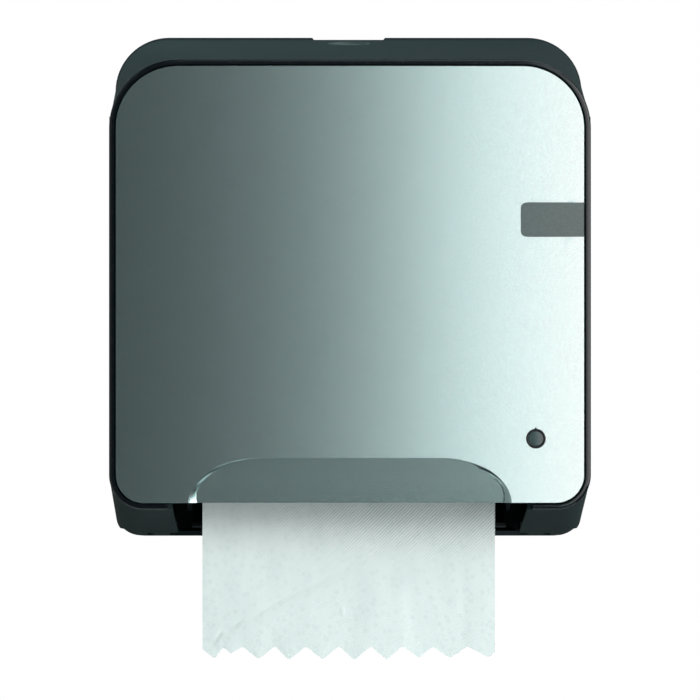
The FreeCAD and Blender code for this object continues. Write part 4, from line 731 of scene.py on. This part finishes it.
# %% [markdown]
# ### Seats in the front
# The badge plate lies in a shallow seat at the right edge and the level window in a round hole. Both
# tools are plain forms that never show. Level cuts across the skin keep its long faces short, so the
# light runs evenly over the crown.


# %% Seats
def crown_at(x):
    """Y of the crowned face at a distance from the middle."""
    return crown_y - math.sqrt(crown_radius * crown_radius - x * x)


begin()
bpy.ops.mesh.primitive_cube_add(size=1, location=(145 * MM, crown_at(141 * MM), 44.7 * MM))
seat = shaped("badge_seat", (51.5 * MM, 1.5 * MM, 24.3 * MM))
pick(seat, "EDGE", lambda a, b: abs(a.y - b.y) > MM and a.x < 130 * MM)
bpy.ops.mesh.bevel(offset=4.1 * MM, segments=8, affect="EDGES")
cut(panel, seat)
WINDOW_X, WINDOW_Z = 130 * MM, -108.5 * MM
window_y = crown_at(WINDOW_X)
begin()
bpy.ops.mesh.primitive_cylinder_add(
    vertices=96, radius=6.95 * MM, depth=40 * MM, location=(WINDOW_X, window_y, WINDOW_Z),
    rotation=FACING_ROOM)
cut(panel, bpy.context.object)
bpy.ops.object.mode_set(mode="EDIT")
for height in range(-145, 152, 12):
    bpy.ops.mesh.select_all(action="SELECT")
    bpy.ops.mesh.bisect(plane_co=(0, 0, height * MM), plane_no=(0, 0, 1))
settle(panel, "cover", "panel_silver", "front_panel", angle=32, weighted=True)

# %% [markdown]
# ## Level window
# A round bezel with a small pip above it holds a smoked lens, which tells when the roll runs low. A
# ring could be spun, but a disc pulled forward, inset and pushed back again gives its seat as well.
# The pip is a bevelled three-sided bar joined to it, and the lens is a flattened ball.

# %% Bezel and lens
begin()
bpy.ops.mesh.primitive_circle_add(
    vertices=96, radius=6.8 * MM, location=(WINDOW_X, window_y + 5 * MM, WINDOW_Z),
    rotation=FACING_ROOM, fill_type="NGON")
bezel = shaped("window_ring")
pick(bezel, "FACE", everything)
push(y=-5.8 * MM)
bpy.ops.mesh.inset(thickness=1.25 * MM)
push(y=1.1 * MM)
face_outward()
BEZEL_ANGLE = math.radians(50)
use(bezel, "BEVEL", width=0.35 * MM, segments=3, limit_method="ANGLE", angle_limit=BEZEL_ANGLE)
begin()
bpy.ops.mesh.primitive_cylinder_add(
    vertices=3, radius=1.15 * MM, depth=1.6 * MM,
    location=(WINDOW_X, window_y - 0.1 * MM, WINDOW_Z + 7 * MM), rotation=FACING_ROOM)
pip = bpy.context.object
use(pip, "BEVEL", width=0.2 * MM, segments=2)
join(bezel, pip)
settle(bezel, "cover", "bezel_black", "window_bezel")

begin()
bpy.ops.mesh.primitive_uv_sphere_add(
    segments=64, ring_count=32, radius=5.4 * MM,
    location=(WINDOW_X, window_y + 0.1 * MM, WINDOW_Z), rotation=FACING_ROOM)
lens = shaped("window_glass", (1, 1, 0.12))
settle(lens, "cover", "lens_grey", "window_lens")

# %% [markdown]
# ## Towel
# One strip of towel leaves the back of the roll, runs over the front of the drum and hangs out of the
# dispenser, where the last cut left a zigzag edge. It is a sheet, so it is made as one: a grid of
# points, one row for each step along its way, with its flat measure kept as UV. Slow folds that grow
# towards the free end and a few small dents keep it from looking like card. Seen from the side, a
# place on its way is its distance from the wall and its height.

# %% The towel's way
TOWEL_WIDTH = 207 * MM
TOWEL_LEFT = -104.2 * MM
VALLEY_Z = -256 * MM
DRUM = (120 * MM, -105 * MM)
drum_reach, roll_reach = 40.55 * MM, 85.55 * MM
SLANT_ROWS, DRUM_ROWS, HANGING_ROWS = 40, 24, 110


def on_circle(centre, radius, angle):
    """A point of a circle in the side view."""
    return centre[0] + radius * math.cos(angle), centre[1] + radius * math.sin(angle)


span = (ROLL[0] - DRUM[0], ROLL[1] - DRUM[1])
lean_angle = math.atan2(-span[0], span[1])
touch = math.asin((drum_reach + roll_reach) / math.hypot(*span)) + lean_angle
on_roll = on_circle(ROLL, -roll_reach, touch)
on_drum = on_circle(DRUM, drum_reach, touch)
way = []
for i in range(SLANT_ROWS):
    way.append(tuple(a + (b - a) * (i / SLANT_ROWS) for a, b in zip(on_roll, on_drum)))
for i in range(DRUM_ROWS):
    way.append(on_circle(DRUM, drum_reach, touch * (1 - i / DRUM_ROWS)))
for i in range(HANGING_ROWS + 1):
    way.append((DRUM[0] + drum_reach, DRUM[1] + (VALLEY_Z - DRUM[1]) * i / HANGING_ROWS))
lengths = [0.0]
for (u0, z0), (u1, z1) in zip(way, way[1:]):
    lengths.append(lengths[-1] + math.hypot(u1 - u0, z1 - z0))
print("towel from roll to the valleys of its edge:", round(lengths[-1] * 1000, 1), "mm")

# %% Torn edge
TORN = (
    (-104.2, -258.2), (-95.4, -265.2), (-89.6, -256.6), (-84.0, -261.5), (-75.9, -256.2),
    (-64.6, -265.4), (-52.8, -256.0), (-43.2, -266.0), (-31.0, -256.2), (-19.1, -265.6),
    (-7.6, -256.0), (3.3, -266.0), (14.9, -256.0), (26.1, -265.8), (37.3, -256.0),
    (49.0, -264.4), (58.6, -256.4), (71.0, -264.6), (83.5, -256.2), (98.3, -264.2),
    (102.8, -260.4),
)
COLUMNS = 246
RAGGED = 0.12
rng = random.Random(7)
xs = TOWEL_LEFT + TOWEL_WIDTH * np.arange(COLUMNS + 1) / COLUMNS
corner_x, corner_z = np.array(TORN).T * MM
edge_z = np.interp(xs, corner_x, corner_z)
kernel = np.array([1, 2, 3, 2, 1]) / 9
edge_z = np.convolve(np.pad(edge_z, 2, mode="edge"), kernel, mode="valid")
edge_z = edge_z + np.array([rng.uniform(-RAGGED, RAGGED) for _ in xs]) * MM

# %% Folds and dents
FOLDS_BEGIN, FOLDS_GROW = -168 * MM, 90 * MM
BROAD, NARROW = 118 * MM, 61 * MM
DENTS = (
    (-48, -168, 0.35), (-46.5, -178, -0.45), (8, -177, 0.4), (47, -171, -0.4),
    (50, -177, 0.35), (-5, -231, 0.35), (52, -258, -0.5),
)
DENT_WIDTH, DENT_HEIGHT = 1.3 * MM, 3.2 * MM


def hump(distance, width):
    """1 in the middle, fading to nearly 0 within twice the width."""
    return math.exp(-((distance / width) ** 2))


def fold_depth(x, z):
    """How far the hanging paper stands forward of its plane, in metres."""
    free = min(1.0, max(0.0, (FOLDS_BEGIN - z) / FOLDS_GROW))
    turn = 2 * math.pi * x
    wave = 0.55 * math.sin(turn / BROAD + 0.8) + 0.35 * math.sin(turn / NARROW - 22 * z)
    crease = 0.2 * hump(x - 0.026 + 0.05 * z, 0.0045) - 0.3 * hump(x - 0.081, 0.004)
    below = (x * 0.44 - z * 0.9 - 0.181) / (5 * MM)
    slant = 0.6 * math.tanh(below) - 0.8 * hump(below + 0.2, 0.32)
    corner = 0.05 * max(0.0, (-0.062 - x) * 0.9 + (-0.232 - z) * 0.75)
    dents = 0.0
    for dent_x, dent_z, depth in DENTS:
        dents += depth * hump(x - dent_x * MM, DENT_WIDTH) * hump(z - dent_z * MM, DENT_HEIGHT)
    return free * ((wave * 0.8 + crease + slant) * 0.9 * MM - corner) + dents * MM


print("fold at the middle of the free end:", round(fold_depth(0, VALLEY_Z) / MM, 2), "mm")

# %% Grid of points with its flat measure
SKIRT_ROWS = 22
points, uv = [], []
for row, ((u, z), length) in enumerate(zip(way, lengths)):
    pulled = max(0.0, 1 - (len(way) - 1 - row) / SKIRT_ROWS)
    hanging = z < DRUM[1] and u > DRUM[0]
    for x, low in zip(xs, edge_z):
        drop = (low - VALLEY_Z) * pulled
        depth = fold_depth(x, z) if hanging else 0.0
        points.append((x, -u - depth, z + drop))
        uv.append((x, -length + drop))
stride = COLUMNS + 1
faces = [
    (r * stride + c, (r + 1) * stride + c, (r + 1) * stride + c + 1, r * stride + c + 1)
    for r in range(len(way) - 1) for c in range(COLUMNS)
]
mesh = bpy.data.meshes.new("towel_sheet")
mesh.from_pydata(points, [], faces)
layer = mesh.uv_layers.new(name="flat")
corner_index = np.zeros(len(mesh.loops), int)
mesh.loops.foreach_get("vertex_index", corner_index)
layer.data.foreach_set("uv", np.array(uv)[corner_index].ravel())
begin()
towel = bpy.data.objects.new("towel_sheet", mesh)
bpy.context.collection.objects.link(towel)
print("grid of", len(way), "rows and", stride, "columns")

# %% Thickness, finish and body
bpy.context.view_layer.objects.active = towel
use(towel, "SOLIDIFY", thickness=0.22 * MM, offset=0)
settle(towel, "chassis", "towel_paper", "towel_web", "towel_tail", angle=60)

# %% [markdown]
# ## Wound roll
# The roll is one long strip wound on the core. Its sides aren't flat: the turns lie a little higher
# and lower than each other. A thick tube is made from a cylinder, its two ends are inset ring by
# ring, and each ring is pushed by a small amount of its own. The rings of the finish do the rest.

# %% Roll of towel
ROLL_RADIUS, CORE_RADIUS, RINGS = 85, 20, 16
begin()
bpy.ops.mesh.primitive_cylinder_add(
    vertices=160, radius=ROLL_RADIUS * MM, depth=TOWEL_WIDTH, location=ROLL_AXIS, rotation=ALONG_X)
roll = shaped("wound_roll")
ring = (ROLL_RADIUS - CORE_RADIUS) / RINGS * MM
for side in (-1, 1):
    pick(roll, "FACE", lambda centre, normal: normal.x * side > 0.9)
    for _ in range(RINGS):
        bpy.ops.mesh.inset(thickness=ring, depth=rng.uniform(-0.22, 0.2) * MM)


def in_the_core(centre, normal):
    """True for the two faces that the innermost rings leave."""
    from_axis = math.hypot(centre.y - ROLL_AXIS.y, centre.z - ROLL_AXIS.z)
    return from_axis < 5 * MM and abs(normal.x) > 0.5


pick(roll, "FACE", in_the_core)
bpy.ops.mesh.bridge_edge_loops()
face_outward()
bpy.ops.object.mode_set(mode="OBJECT")
roll.data.materials.append(finishes["wound_paper"])
settle(roll, "roll", "towel_paper", "towel_roll", angle=40)

# %% [markdown]
# ## Springs
# The return spring pulls the drum home, and a small one lifts the latch and is pressed together when
# the latch goes down. A coil is a small round section that the Screw modifier winds up. Each end of
# the return spring is a ring of the same wire, joined to the coil by a straight leg.


# %% Coil, and the spring under the latch
def coil(name, radius, wire, low, high, turns):
    """A coil round the Z axis from one height to another."""
    begin()
    bpy.ops.mesh.primitive_circle_add(
        vertices=10, radius=wire, location=(radius, 0, low), rotation=FACING_ROOM)
    piece = shaped(name)
    steps = 24 * turns
    use(piece, "SCREW", angle=2 * math.pi * turns, screw_offset=high - low, steps=steps,
        render_steps=steps, iterations=1, axis="Z", use_normal_calculate=True)
    pick(piece, "EDGE", everything)
    bpy.ops.mesh.fill_holes(sides=0)
    face_outward()
    bpy.ops.object.mode_set(mode="OBJECT")
    return piece


END = 0.6 * MM
low_corner, high_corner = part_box("latch_spring")
middle = (low_corner + high_corner) / 2
latch_coil = coil("latch_coil", 3.6 * MM, 0.55 * MM, low_corner.z + END, high_corner.z - END, 5)
latch_coil.location = (middle.x, middle.y, 0)
settle(latch_coil, "chassis", "spring_steel", "latch_spring")
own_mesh(latch_coil)

# %% Return spring with its end loops
COIL_RADIUS, WIRE, HOOK = 3.8 * MM, 0.6 * MM, 13 * MM
POST, PIN = Vector((0, -40 * MM, -70 * MM)), Vector((0, -103.5 * MM, -97.8 * MM))
reach = (PIN - POST).length
return_coil = coil("return_coil", COIL_RADIUS, WIRE, HOOK, reach - HOOK, 15)
return_coil.rotation_euler = (0, 0, math.pi / 2)
bpy.ops.object.transform_apply(location=True, rotation=True, scale=True)
for loop_radius, height, coil_end in ((3.92 * MM, 0, HOOK), (3.42 * MM, reach, reach - HOOK)):
    begin()
    bpy.ops.mesh.primitive_torus_add(
        major_radius=loop_radius, minor_radius=WIRE, major_segments=36, minor_segments=10,
        location=(0, 0, height), rotation=ALONG_X)
    loop = bpy.context.object
    start, stop = Vector((0, loop_radius, height)), Vector((0, COIL_RADIUS, coil_end))
    leg = stop - start
    bpy.ops.mesh.primitive_cylinder_add(
        vertices=10, radius=WIRE, depth=leg.length, location=(start + stop) / 2,
        rotation=leg.to_track_quat("Z", "Y").to_euler())
    join(return_coil, loop, bpy.context.object)
low_corner, high_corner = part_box("return_spring")
return_coil.rotation_euler = (-math.atan2(PIN.y - POST.y, PIN.z - POST.z), 0, 0)
return_coil.location = ((low_corner.x + high_corner.x) / 2, POST.y, POST.z)
settle(return_coil, "chassis", "spring_steel", "return_spring")

# %% [markdown]
# ## Screws in the feet
# The frames and the fixed roll arm stand on feet that are screwed to the back plate. A pan-head screw
# is a short cylinder whose upper rim is bevelled wide, with a cross cut into it.

# %% Pan-head screws
FEET_Y = -8 * MM
SLOT_LENGTH, SLOT_DEPTH, SLOT_WIDTH = 3.4 * MM, 1.6 * MM, 0.7 * MM


def pan_screw(name, x, z):
    begin()
    bpy.ops.mesh.primitive_cylinder_add(
        vertices=32, radius=3 * MM, depth=2.3 * MM, location=(x, FEET_Y, z), rotation=FACING_ROOM)
    screw = shaped(name)
    pick(screw, "EDGE", lambda a, b: max(a.y, b.y) < FEET_Y - 1.1 * MM)
    bpy.ops.mesh.bevel(offset=1.1 * MM, segments=5, affect="EDGES")
    for length, width in ((SLOT_LENGTH, SLOT_WIDTH), (SLOT_WIDTH, SLOT_LENGTH)):
        begin()
        place = (x, FEET_Y - 1.3 * MM, z)
        bpy.ops.mesh.primitive_cube_add(size=1, location=place, rotation=(0, 0.6, 0))
        cut(screw, shaped("slot", (length, SLOT_DEPTH, width)))
    settle(screw, "chassis", "steel", angle=40)


INWARD = 6 * MM
left_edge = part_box("left_frame")[0].x + INWARD
right_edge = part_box("right_frame")[1].x - INWARD
arm_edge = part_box("left_roll_arm")[0].x + INWARD
places = [
    (left_edge, -58), (left_edge, -130), (right_edge, -58), (right_edge, -130),
    (arm_edge, 34), (arm_edge, 90),
]
for number, (x, z) in enumerate(places, 1):
    pan_screw(f"foot_screw_{number}", x, z * MM)
